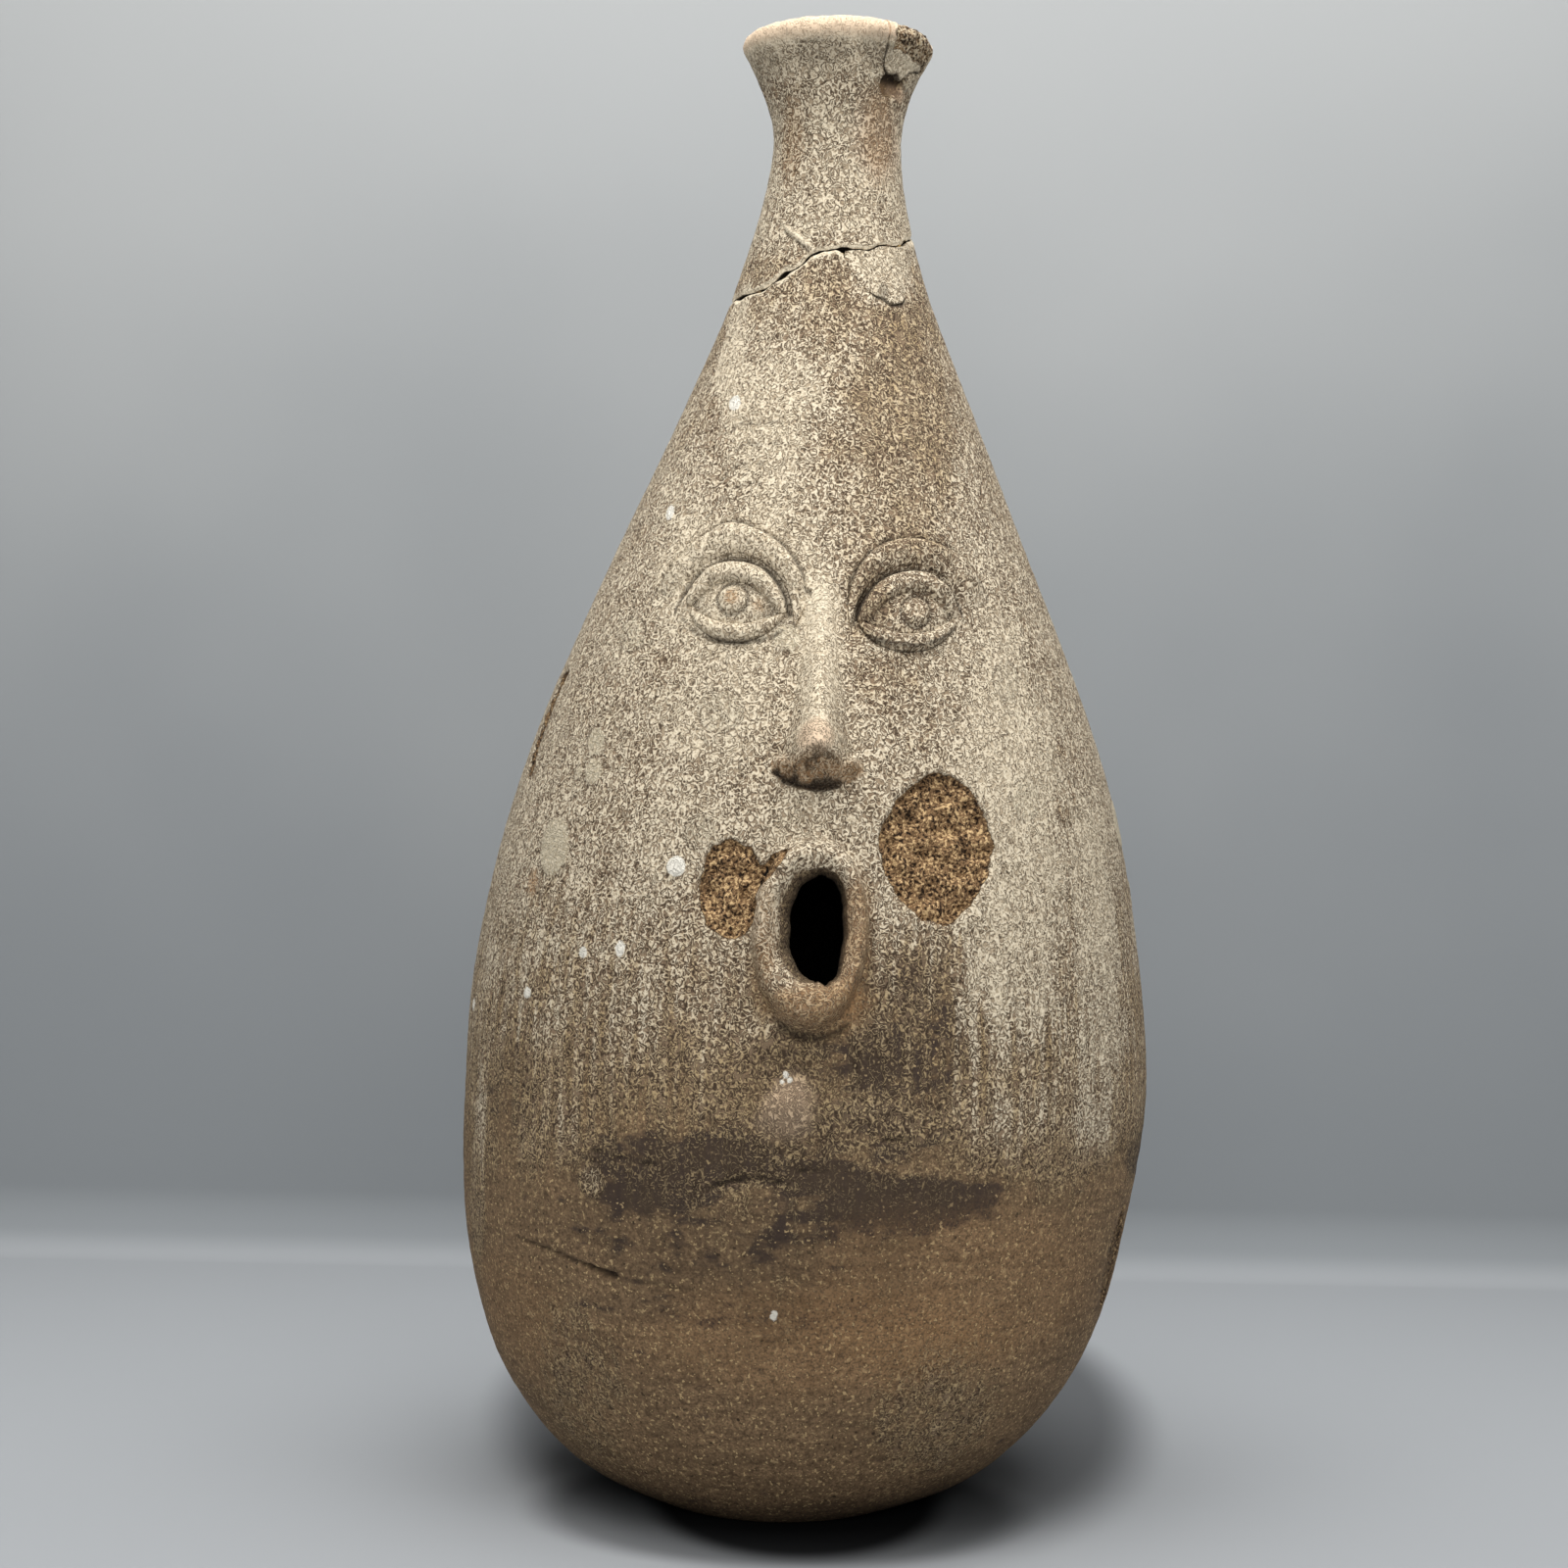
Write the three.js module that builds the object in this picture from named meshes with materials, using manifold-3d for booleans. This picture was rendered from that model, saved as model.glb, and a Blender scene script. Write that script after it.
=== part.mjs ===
// A tall stoneware face jug: a pear-shaped bottle with a flared rim and a face modelled on its front.
// Millimetres, +Z up. The origin is the centre of the flat foot, and the face looks along -Y.
// Left and right are as a person who looks at the face sees them.

import * as THREE from "three";
import { mergeVertices } from "three/addons/utils/BufferGeometryUtils.js";
import Module from "manifold-3d";

const wasm = await Module();
wasm.setup();

// The thrown bottle: radii and heights of its outside, and the thickness of its wall
const JUG_HEIGHT = 460;
const FOOT_RADIUS = 46;
const BELLY_RADIUS = 107.5;
const BELLY_HEIGHT = 126;
const BELLY_FULLNESS = 45;
const SHOULDER_RADIUS = 80;
const SHOULDER_HEIGHT = 259;
const SHOULDER_FULLNESS = 45;
const CONE_TOP_RADIUS = 36;
const CONE_TOP_BELOW_RIM = 96;
const NECK_SWEEP = 20;
const NECK_RADIUS = 20.2;
const NECK_BELOW_RIM = 35;
const NECK_STRAIGHT = 17;
const RIM_RADIUS = 30;
const RIM_FLARE = 9;
const RIM_FLARE_ANGLE = THREE.MathUtils.degToRad(27);
const LIP_ROUND = 4;
const FLOOR_THICKNESS = 12;
const BODY_WALL = 9;
const NECK_WALL = 6.5;

// The whole bottle leans a little to the right
const LEAN = THREE.MathUtils.degToRad(1);

// Where the two thrown sections meet, and the glued break below the neck
const JOINT_GAP = 0.3;
const SEAM_HEIGHT = 98;
const BREAK_BELOW_RIM = 72.6;
const BREAK_SLOPE = THREE.MathUtils.degToRad(20.8);
const GLUE_THICKNESS = 0.8;

// Sherds glued back: degrees round from the front, the middle's depth below the rim, and the size
const RIM_SHERD = { turn: 58, belowRim: 4, halfWidth: 16, halfHeight: 13, skew: 4 };
const SHOULDER_SHERD = { turn: 32, belowRim: 74, halfWidth: 9.5, halfHeight: 13, skew: -3 };

// The face. Places are an arc length along the wall from its front line and a height above the foot.
const FACE_MIDLINE = 0.7;
const EYE_SPACING = 52;
const LEFT_EYE_HEIGHT = 274.5;
const RIGHT_EYE_HEIGHT = 271.5;
const EYE_WIDTH = 24;
const EYE_RISE = 7;
const EYE_DROP = 2.8;
const EYEBALL_LIFT = 2.6;
const EYEBALL_EDGE_LIFT = 0.8;
const LID_WIDTH = 6;
const LID_LIFT = 3.4;
const IRIS_RADIUS = 4.4;
const IRIS_RAISE = 2.1;
const IRIS_LIFT = 1.3;
const BROW_SPAN = 42;
const BROW_RISE = 19.5;
const BROW_WIDTH = 10;
const BROW_LIFT = 3.4;
const NOSE_TOP_HEIGHT = 283;
const NOSE_TIP_HEIGHT = 236;
const NOSE_BASE_HEIGHT = 222.5;
const NOSE_BRIDGE_WIDTH = 7;
const NOSE_TIP_WIDTH = 18;
const NOSE_WIDTH = 27;
const NOSE_LIFT = 15;
const NOSE_TOP_LIFT = 1;
const MOUTH_OFFSET = 1.5;
const MOUTH_HEIGHT = 181.8;
const MOUTH_OPEN_WIDTH = 17;
const MOUTH_OPEN_HEIGHT = 35;
const LIP_WIDTH = 10;
const LIP_LIFT = 7;
const CHIN_OFFSET = -4.7;
const CHIN_HEIGHT = 131;
const CHIN_RADIUS = 10;
const CHIN_LIFT = 2.5;

// Spalls, where the face of the wall has burst off
const RIGHT_SPALL = { offset: 36.9, height: 203.5, halfWidth: 16.4, halfHeight: 22, depth: 2 };
const LEFT_SPALL = { offset: -21.8, height: 193.4, halfWidth: 8.7, halfHeight: 14, depth: 2 };

// How finely round shapes are cut into flats
const BOTTLE_SIDES = 48;
const STRETCH_STEPS = { bowl: 8, belly: 6, cone: 2, neck: 4, flare: 3, lip: 6 };
const PAD_SIDES = 18;
const PAD_RINGS = [1, 0.8, 0.55, 0.3, 0.1];
const COIL_SIDES = 10;
const COIL_STEPS = 14;
const RING_STEPS = 28;
const NOSE_STEPS = 4;
const NOSE_SECTION = [1, 0.75, 0.45, 0.15, -0.15, -0.45, -0.75, -1];
const NOSE_SHARPNESS = 1.4;

// The share of a coil's width and lift that is left at its ends
const COIL_END_WIDTH = 0.35;
const COIL_END_LIFT = 0.5;

// How far a lump of clay reaches into the wall before it is cut back to its seat
const ROOT = 2;

// Clay and glue colours
const SLIPPED_CLAY = { color: 0x9c9079, roughness: 0.9, metalness: 0 };
const BARE_CLAY = { color: 0x6f5a43, roughness: 0.95, metalness: 0 };
const OLD_GLUE = { color: 0xb89a5e, roughness: 0.45, metalness: 0 };

const breakHeight = JUG_HEIGHT - BREAK_BELOW_RIM;
const waistHeight = JUG_HEIGHT - NECK_BELOW_RIM;

// Turns a closed geometry into a solid that can be joined and cut.
function solidOf(geometry) {
  const bare = geometry.clone();
  bare.deleteAttribute("normal");
  bare.deleteAttribute("uv");
  const merged = mergeVertices(bare);
  const corners = merged.index.array;
  const kept = [];
  for (let first = 0; first < corners.length; first += 3) {
    const [a, b, c] = corners.slice(first, first + 3);
    if (a !== b && b !== c && c !== a) kept.push(a, b, c);
  }
  const vertProperties = new Float32Array(merged.getAttribute("position").array);
  const triVerts = new Uint32Array(kept);
  return new wasm.Manifold(new wasm.Mesh({ numProp: 3, vertProperties, triVerts }));
}

// Turns a solid back into a geometry.
function geometryOf(solid) {
  const { vertProperties, triVerts } = solid.getMesh();
  const geometry = new THREE.BufferGeometry();
  geometry.setAttribute("position", new THREE.BufferAttribute(vertProperties, 3));
  geometry.setIndex(new THREE.BufferAttribute(triVerts, 1));
  geometry.computeVertexNormals();
  return geometry;
}

// The outside of the bottle from the foot to the inner edge of the lip, drawn as radius and height.
function outerCurves() {
  const coneTop = new THREE.Vector2(CONE_TOP_RADIUS, JUG_HEIGHT - CONE_TOP_BELOW_RIM);
  const shoulder = new THREE.Vector2(SHOULDER_RADIUS, SHOULDER_HEIGHT);
  const cone = coneTop.clone().sub(shoulder).normalize();
  const lip = new THREE.Vector2(RIM_RADIUS - LIP_ROUND, JUG_HEIGHT - LIP_ROUND);
  const flare = new THREE.Vector2(Math.sin(RIM_FLARE_ANGLE), Math.cos(RIM_FLARE_ANGLE));
  const flareEnd = new THREE.Vector2(flare.y, -flare.x).multiplyScalar(LIP_ROUND).add(lip);
  const path = new THREE.Path();
  path.moveTo(FOOT_RADIUS, 0);
  path.absellipse(
    FOOT_RADIUS, BELLY_HEIGHT, BELLY_RADIUS - FOOT_RADIUS, BELLY_HEIGHT, -Math.PI / 2, 0, false, 0,
  );
  path.bezierCurveTo(
    BELLY_RADIUS, BELLY_HEIGHT + BELLY_FULLNESS,
    shoulder.x - cone.x * SHOULDER_FULLNESS, shoulder.y - cone.y * SHOULDER_FULLNESS,
    shoulder.x, shoulder.y,
  );
  path.lineTo(coneTop.x, coneTop.y);
  path.bezierCurveTo(
    coneTop.x + cone.x * NECK_SWEEP, coneTop.y + cone.y * NECK_SWEEP,
    NECK_RADIUS, waistHeight - NECK_STRAIGHT,
    NECK_RADIUS, waistHeight,
  );
  path.bezierCurveTo(
    NECK_RADIUS, waistHeight + RIM_FLARE,
    flareEnd.x - flare.x * RIM_FLARE, flareEnd.y - flare.y * RIM_FLARE,
    flareEnd.x, flareEnd.y,
  );
  path.absarc(lip.x, lip.y, LIP_ROUND, -RIM_FLARE_ANGLE, Math.PI, false);
  const [bowl, belly, straight, neck, flared, rounded] = path.curves;
  return { bowl, belly, cone: straight, neck, flare: flared, lip: rounded };
}

// The outside as points, each with its stretch and the direction that faces out of the clay.
function outerStations() {
  return Object.entries(outerCurves()).flatMap(([stretch, curve]) => {
    const steps = STRETCH_STEPS[stretch];
    const first = stretch === "bowl" ? 0 : 1;
    return Array.from({ length: steps + 1 - first }, (_, index) => {
      const share = (index + first) / steps;
      const along = curve.getTangent(share);
      return { stretch, point: curve.getPoint(share), out: new THREE.Vector2(along.y, -along.x) };
    });
  });
}

const stations = outerStations();
const wallStations = stations.filter(({ stretch }) => stretch !== "lip");

// Radius of the outside at a height, and how it changes with height.
function wallAt(height) {
  const next = wallStations.findIndex(({ point }) => point.y > height);
  const low = wallStations[next - 1].point;
  const high = wallStations[next].point;
  const slope = (high.x - low.x) / (high.y - low.y);
  return { radius: low.x + slope * (height - low.y), slope };
}

// Thickness of the wall at a height: a thick floor, an even belly and a thinner neck.
function wallThickness(height) {
  const risen = THREE.MathUtils.smoothstep(height, 0, BELLY_HEIGHT);
  const necked = THREE.MathUtils.smoothstep(height, SHOULDER_HEIGHT, waistHeight);
  return FLOOR_THICKNESS + (BODY_WALL - FLOOR_THICKNESS) * risen + (NECK_WALL - BODY_WALL) * necked;
}

// The inside from the floor up to the throat, found by going straight in from the outside.
function innerPoints() {
  return wallStations
    .filter(({ stretch }) => stretch !== "flare")
    .map(({ point, out }) => point.clone().addScaledVector(out, -wallThickness(point.y)));
}

// The flared inside of the rim, between the throat and the lip.
function throatPoints() {
  const throat = new THREE.Vector2(NECK_RADIUS - NECK_WALL, waistHeight);
  const lipInside = new THREE.Vector2(RIM_RADIUS - 2 * LIP_ROUND, JUG_HEIGHT - LIP_ROUND);
  const curve = new THREE.CubicBezierCurve(
    throat,
    new THREE.Vector2(throat.x, throat.y + RIM_FLARE),
    new THREE.Vector2(lipInside.x, lipInside.y - RIM_FLARE),
    lipInside,
  );
  return curve.getPoints(STRETCH_STEPS.flare).slice(1, -1);
}

// Spins an outline of radius and height about the upright axis.
function spin(outline) {
  const turned = new THREE.LatheGeometry(outline, BOTTLE_SIDES);
  return solidOf(turned.rotateX(Math.PI / 2));
}

// A point on the outside of the wall, lifted straight off it.
function onWall(offset, height, lift) {
  const { radius, slope } = wallAt(height);
  const angle = offset / radius;
  const out = lift / Math.hypot(1, slope);
  const reach = radius + out;
  return new THREE.Vector3(reach * Math.sin(angle), -reach * Math.cos(angle), height - slope * out);
}

// The middle of a loop of points.
function middleOf(loop) {
  const sum = loop.reduce((total, point) => total.add(point), new THREE.Vector3());
  return sum.divideScalar(loop.length);
}

// Joins loops of points, one after the next, into a solid, with a fan over each end unless it is endless.
function skinLoops(loops, endless = false) {
  const sides = loops[0].length;
  const points = loops.flat();
  const corners = [];
  const strips = endless ? loops.length : loops.length - 1;
  for (let loop = 0; loop < strips; loop += 1) {
    const here = loop * sides;
    const there = ((loop + 1) % loops.length) * sides;
    for (let side = 0; side < sides; side += 1) {
      const next = (side + 1) % sides;
      corners.push(here + side, here + next, there + next);
      corners.push(here + side, there + next, there + side);
    }
  }
  if (!endless) {
    const last = (loops.length - 1) * sides;
    const startFan = points.push(middleOf(loops[0])) - 1;
    const endFan = points.push(middleOf(loops[loops.length - 1])) - 1;
    for (let side = 0; side < sides; side += 1) {
      const next = (side + 1) % sides;
      corners.push(startFan, next, side);
      corners.push(endFan, last + side, last + next);
    }
  }
  const geometry = new THREE.BufferGeometry().setFromPoints(points);
  geometry.setIndex(corners);
  return solidOf(geometry);
}

// One ring of a pad: its outline, drawn round a middle on the wall, at a share of its size.
function padRing({ offset, height, outline, grow = 0 }, share, lift) {
  return Array.from({ length: PAD_SIDES }, (_, side) => {
    const edge = outline((2 * Math.PI * side) / PAD_SIDES);
    const reach = share * (1 + grow / edge.length());
    return onWall(offset + edge.x * reach, height + edge.y * reach, lift);
  });
}

// A pad of clay on the wall. Its lift is a function of the share of the way from its middle to its edge.
function pad(shape) {
  const grow = shape.grow ?? 0;
  const rings = PAD_RINGS.map((share) => padRing(shape, share, shape.lift(share) + grow));
  return skinLoops([padRing(shape, 1, -ROOT), ...rings]);
}

// What is cut out of the wall to leave a shallow hollow.
function hollow({ offset, height, halfWidth, halfHeight, depth }) {
  const shape = { offset, height, outline: ellipse(halfWidth, halfHeight) };
  const rings = PAD_RINGS.map((share) => padRing(shape, share, -depth * (1 - share ** 4)));
  return skinLoops([...rings.reverse(), padRing(shape, 1, ROOT)]);
}

// A coil of clay laid along a line on the wall. The part above the wall is half of an ellipse.
function coil({ line, halfWidth, lift, grow = 0, steps = COIL_STEPS, endless = false }) {
  const nudge = 1 / (100 * steps);
  const loops = Array.from({ length: endless ? steps : steps + 1 }, (_, step) => {
    const share = step / steps;
    const along = line(share + nudge).sub(line(share - nudge)).normalize();
    const across = new THREE.Vector2(-along.y, along.x);
    return Array.from({ length: COIL_SIDES }, (__, side) => {
      const turn = (2 * Math.PI * side) / COIL_SIDES;
      const at = line(share).addScaledVector(across, Math.cos(turn) * (halfWidth(share) + grow));
      const rise = Math.sin(turn) * (lift(share) + grow);
      return onWall(at.x, at.y, Math.max(rise, -ROOT));
    });
  });
  return skinLoops(loops, endless);
}

// An ellipse drawn round a middle.
function ellipse(halfWidth, halfHeight) {
  return (angle) => new THREE.Vector2(halfWidth * Math.cos(angle), halfHeight * Math.sin(angle));
}

// The outside of the bottle grown by the joint gap: what every lump on the wall is cut back to.
function seatOfWall() {
  const outline = wallStations.map(({ point, out }) => point.clone().addScaledVector(out, JOINT_GAP));
  const foot = new THREE.Vector2(0, outline[0].y);
  const top = new THREE.Vector2(0, outline[outline.length - 1].y);
  return spin([foot, ...outline, top]);
}

// The bowl-shaped lower section with the floor and the flat foot.
function lowerBody() {
  const top = SEAM_HEIGHT - JOINT_GAP / 2;
  const below = (points) => points.filter((point) => point.y < top);
  const outer = below(wallStations.map(({ point }) => point));
  const inner = below(innerPoints());
  const rim = wallAt(top).radius;
  return spin([
    new THREE.Vector2(0, 0),
    ...outer,
    new THREE.Vector2(rim, top),
    new THREE.Vector2(rim - wallThickness(top), top),
    ...inner.reverse(),
    new THREE.Vector2(0, FLOOR_THICKNESS),
  ]);
}

// Everything above the seam in one piece, before the mouth is cut and the breaks are made.
function upperShell() {
  const bottom = SEAM_HEIGHT + JOINT_GAP / 2;
  const above = (points) => points.filter((point) => point.y > bottom);
  const outer = above(stations.map(({ point }) => point));
  const inner = above([...innerPoints(), ...throatPoints()]);
  const rim = wallAt(bottom).radius;
  const start = new THREE.Vector2(rim, bottom);
  const end = new THREE.Vector2(rim - wallThickness(bottom), bottom);
  return spin([start, ...outer, ...inner.reverse(), end, start]);
}

// A block whose underside lies along the slanting break, raised from it by a distance.
function blockAboveBreak(distance, thickness = JUG_HEIGHT) {
  const block = new THREE.BoxGeometry(JUG_HEIGHT, JUG_HEIGHT, thickness);
  block.translate(0, 0, thickness / 2 + distance);
  block.rotateY(-BREAK_SLOPE);
  block.translate(0, 0, breakHeight);
  return solidOf(block);
}

// The five-sided block that a sherd fills, reaching out from the axis through one side of the wall.
function sherdBlock({ turn, belowRim, halfWidth, halfHeight, skew }, grow) {
  const wide = halfWidth + grow;
  const tall = halfHeight + grow;
  const outline = new THREE.Shape([
    new THREE.Vector2(skew - wide, tall),
    new THREE.Vector2(-wide, -tall / 3),
    new THREE.Vector2(skew / 2, -tall),
    new THREE.Vector2(wide, -tall / 2),
    new THREE.Vector2(skew + wide, tall),
  ]);
  const block = new THREE.ExtrudeGeometry(outline, { depth: BELLY_RADIUS, bevelEnabled: false });
  block.rotateX(Math.PI / 2);
  block.translate(0, 0, JUG_HEIGHT - belowRim);
  block.rotateZ(THREE.MathUtils.degToRad(turn));
  return solidOf(block);
}

// The oval hole of the mouth, cut straight back through the front wall.
function mouthHole() {
  const outline = new THREE.Shape();
  outline.absellipse(0, 0, MOUTH_OPEN_WIDTH / 2, MOUTH_OPEN_HEIGHT / 2, 0, 2 * Math.PI);
  const hole = new THREE.ExtrudeGeometry(outline, {
    depth: BELLY_RADIUS,
    bevelEnabled: false,
    curveSegments: RING_STEPS,
  });
  hole.rotateX(Math.PI / 2);
  hole.translate(FACE_MIDLINE + MOUTH_OFFSET, -BELLY_RADIUS / 2, MOUTH_HEIGHT);
  return solidOf(hole);
}

// The wall above the seam: the body, the neck that broke off it, the glue between them, and two sherds.
function upperPieces() {
  const shell = upperShell();
  const standoff = GLUE_THICKNESS / 2 + JOINT_GAP;
  const rimSherd = sherdBlock(RIM_SHERD, -JOINT_GAP / 2);
  const rimNotch = sherdBlock(RIM_SHERD, JOINT_GAP / 2);
  const shoulderSherd = sherdBlock(SHOULDER_SHERD, -JOINT_GAP / 2);
  const shoulderNotch = sherdBlock(SHOULDER_SHERD, JOINT_GAP / 2);
  const above = shell.intersect(blockAboveBreak(standoff));
  const below = shell.subtract(blockAboveBreak(-standoff));
  const body = [mouthHole(), shoulderNotch, hollow(RIGHT_SPALL), hollow(LEFT_SPALL)].reduce(
    (wall, cut) => wall.subtract(cut),
    below,
  );
  return {
    upper_body: body,
    shoulder_sherd: below.intersect(shoulderSherd),
    neck_glue: shell.intersect(blockAboveBreak(-GLUE_THICKNESS / 2, GLUE_THICKNESS)),
    neck: above.subtract(rimNotch),
    rim_sherd: above.intersect(rimSherd),
  };
}

const wallSeat = seatOfWall();

// Cuts a lump back to its seat on the wall and to the lumps that were laid before it.
function seated(lump, ...earlier) {
  return earlier.reduce((left, other) => left.subtract(other), lump.subtract(wallSeat));
}

// One section of the nose across the wall: from its right foot over the ridge to its left foot and back.
function noseSection(height, width, lift) {
  const front = NOSE_SECTION.map((share) => {
    const rise = lift * (1 - Math.abs(share) ** NOSE_SHARPNESS);
    return onWall(FACE_MIDLINE + (share * width) / 2, height, rise);
  });
  const back = [-1, 1].map((share) => onWall(FACE_MIDLINE + (share * width) / 2, height, -ROOT));
  return [...front, ...back];
}

// A pinched wedge: narrow at the bridge, highest at the tip, and widest where it ends above the mouth.
function noseWedge(grow = 0) {
  const bridge = Array.from({ length: NOSE_STEPS + 1 }, (_, step) => {
    const share = step / NOSE_STEPS;
    const height = THREE.MathUtils.lerp(NOSE_TOP_HEIGHT + grow, NOSE_TIP_HEIGHT, share);
    const width = THREE.MathUtils.lerp(NOSE_BRIDGE_WIDTH, NOSE_TIP_WIDTH, share);
    const lift = THREE.MathUtils.lerp(NOSE_TOP_LIFT, NOSE_LIFT, share);
    return noseSection(height, width + 2 * grow, lift + grow);
  });
  const base = noseSection(NOSE_BASE_HEIGHT - grow, NOSE_WIDTH + 2 * grow, NOSE_TOP_LIFT + grow);
  return skinLoops([...bridge, base]);
}

// The rolled ring of clay round the mouth.
function mouthLip() {
  const round = ellipse((MOUTH_OPEN_WIDTH + LIP_WIDTH) / 2, (MOUTH_OPEN_HEIGHT + LIP_WIDTH) / 2);
  const centre = new THREE.Vector2(FACE_MIDLINE + MOUTH_OFFSET, MOUTH_HEIGHT);
  const ring = coil({
    line: (share) => round(2 * Math.PI * share).add(centre),
    halfWidth: () => LIP_WIDTH / 2,
    lift: () => LIP_LIFT,
    steps: RING_STEPS,
    endless: true,
  });
  return seated(ring);
}

// The low pad of the chin.
function chin() {
  return seated(pad({
    offset: CHIN_OFFSET + FACE_MIDLINE,
    height: CHIN_HEIGHT,
    outline: ellipse(CHIN_RADIUS, CHIN_RADIUS),
    lift: (share) => CHIN_LIFT * (1 - share ** 2),
  }));
}

// One eye: the ball is laid first, then the pellet on it, the lids round it and the brow fold over them.
function eyePieces(offset, height) {
  const almond = (angle) => ellipse(EYE_WIDTH / 2, Math.sin(angle) > 0 ? EYE_RISE : EYE_DROP)(angle);
  const bow = (span, rise, level) => (share) => {
    const angle = Math.PI * (1 - share);
    return new THREE.Vector2(offset + (span / 2) * Math.cos(angle), level + rise * Math.sin(angle));
  };
  const swell = (end, share) => THREE.MathUtils.lerp(end, 1, Math.sin(Math.PI * share));
  const tapered = (width) => (share) => (width / 2) * swell(COIL_END_WIDTH, share);
  const raised = (lift) => (share) => lift * swell(COIL_END_LIFT, share);
  const ballShape = {
    offset,
    height,
    outline: almond,
    lift: (share) => THREE.MathUtils.lerp(EYEBALL_LIFT, EYEBALL_EDGE_LIFT, share ** 2),
  };
  const lidShape = (rise, level) => ({
    line: bow(EYE_WIDTH + LID_WIDTH, rise, level),
    halfWidth: tapered(LID_WIDTH),
    lift: raised(LID_LIFT),
  });
  const upperShape = lidShape(EYE_RISE + LID_WIDTH / 2, height);
  const lowerShape = lidShape(-EYE_DROP - LID_WIDTH / 2, height - JOINT_GAP);
  const ballSpace = pad({ ...ballShape, grow: JOINT_GAP });
  const upperSpace = coil({ ...upperShape, grow: JOINT_GAP });
  const lowerSpace = coil({ ...lowerShape, grow: JOINT_GAP });
  const iris = pad({
    offset,
    height: height + IRIS_RAISE,
    outline: ellipse(IRIS_RADIUS, IRIS_RADIUS),
    lift: (share) => EYEBALL_LIFT + IRIS_LIFT * (1 - share ** 3),
  });
  const brow = coil({
    line: bow(BROW_SPAN, BROW_RISE, height),
    halfWidth: tapered(BROW_WIDTH),
    lift: raised(BROW_LIFT),
  });
  return {
    eyeball: seated(pad(ballShape)),
    iris: seated(iris, ballSpace, upperSpace, lowerSpace),
    upper_eyelid: seated(coil(upperShape), ballSpace),
    lower_eyelid: seated(coil(lowerShape), ballSpace, upperSpace),
    brow: seated(brow, upperSpace, lowerSpace, noseWedge(JOINT_GAP)),
  };
}

// One named piece of the jug.
function piece(name, solid, finish) {
  const mesh = new THREE.Mesh(geometryOf(solid), new THREE.MeshStandardMaterial(finish));
  mesh.name = name;
  return mesh;
}

// The thrown wall, with its breaks and sherds.
function bottle() {
  const group = new THREE.Group();
  group.add(piece("lower_body", lowerBody(), BARE_CLAY));
  for (const [name, solid] of Object.entries(upperPieces())) {
    group.add(piece(name, solid, name === "neck_glue" ? OLD_GLUE : SLIPPED_CLAY));
  }
  return group;
}

// The face, laid on the wall lump by lump.
function face() {
  const group = new THREE.Group();
  group.add(piece("nose", seated(noseWedge()), SLIPPED_CLAY));
  group.add(piece("mouth_lip", mouthLip(), SLIPPED_CLAY));
  group.add(piece("chin", chin(), BARE_CLAY));
  const eyes = [
    ["left", FACE_MIDLINE - EYE_SPACING / 2, LEFT_EYE_HEIGHT],
    ["right", FACE_MIDLINE + EYE_SPACING / 2, RIGHT_EYE_HEIGHT],
  ];
  for (const [side, offset, height] of eyes) {
    for (const [name, solid] of Object.entries(eyePieces(offset, height))) {
      group.add(piece(`${side}_${name}`, solid, SLIPPED_CLAY));
    }
  }
  return group;
}

// The lean slides each level of the jug sideways, so that the foot stays flat on the table.
const jug = new THREE.Group();
jug.add(bottle(), face());
jug.matrixAutoUpdate = false;
jug.matrix.makeShear(0, 0, 0, 0, Math.tan(LEAN), 0);

export default jug;
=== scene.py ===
"""Face jug: a tall weathered stoneware bottle with a face modelled on its front.

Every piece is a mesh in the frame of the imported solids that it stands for. Sizes are in
millimetres. A place on the wall is an arc length from the front line, positive to the right
of a person who looks at the face, and a height above the foot.
"""

import logging
import math
from collections.abc import Callable, Sequence
from dataclasses import dataclass
from enum import Enum
from functools import cached_property

import bmesh
import bpy
import numpy as np
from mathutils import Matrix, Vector


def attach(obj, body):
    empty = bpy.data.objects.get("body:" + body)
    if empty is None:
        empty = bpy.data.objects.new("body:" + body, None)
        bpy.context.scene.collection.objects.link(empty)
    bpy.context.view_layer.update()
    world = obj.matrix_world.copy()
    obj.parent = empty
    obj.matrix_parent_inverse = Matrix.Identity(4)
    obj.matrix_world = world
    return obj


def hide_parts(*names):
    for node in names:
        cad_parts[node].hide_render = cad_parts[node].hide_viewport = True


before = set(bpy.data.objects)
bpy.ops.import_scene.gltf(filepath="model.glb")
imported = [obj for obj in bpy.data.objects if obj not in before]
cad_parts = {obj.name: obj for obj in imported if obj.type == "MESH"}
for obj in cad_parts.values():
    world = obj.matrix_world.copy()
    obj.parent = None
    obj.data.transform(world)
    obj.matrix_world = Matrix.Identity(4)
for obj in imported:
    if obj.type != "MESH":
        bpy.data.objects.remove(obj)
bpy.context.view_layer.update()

BODY = "root"
MM = 0.001
BAKE_MAP = "OFBake"

log = logging.getLogger("face_jug")

Field = np.ndarray
Place = tuple[float, float]
Looks = dict["Look", Field | float]
# Left, bottom, right and top of a place in the bake
Window = tuple[float, float, float, float]
# Stops, and the largest step in each stretch between them
Grading = tuple[tuple[float, ...], tuple[float, ...]]
Paint = tuple[float, float, float, float]
Socket = bpy.types.NodeSocket
Material = bpy.types.Material
Piece = bpy.types.Object

# Depth that a place far outside a mark counts as, and the most that one inside counts as
FAR, DEEP = -4.0, 4.0
# Radius of the ring on which the noise along the neck's edges is read
NECK_RING = 30.0


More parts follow.
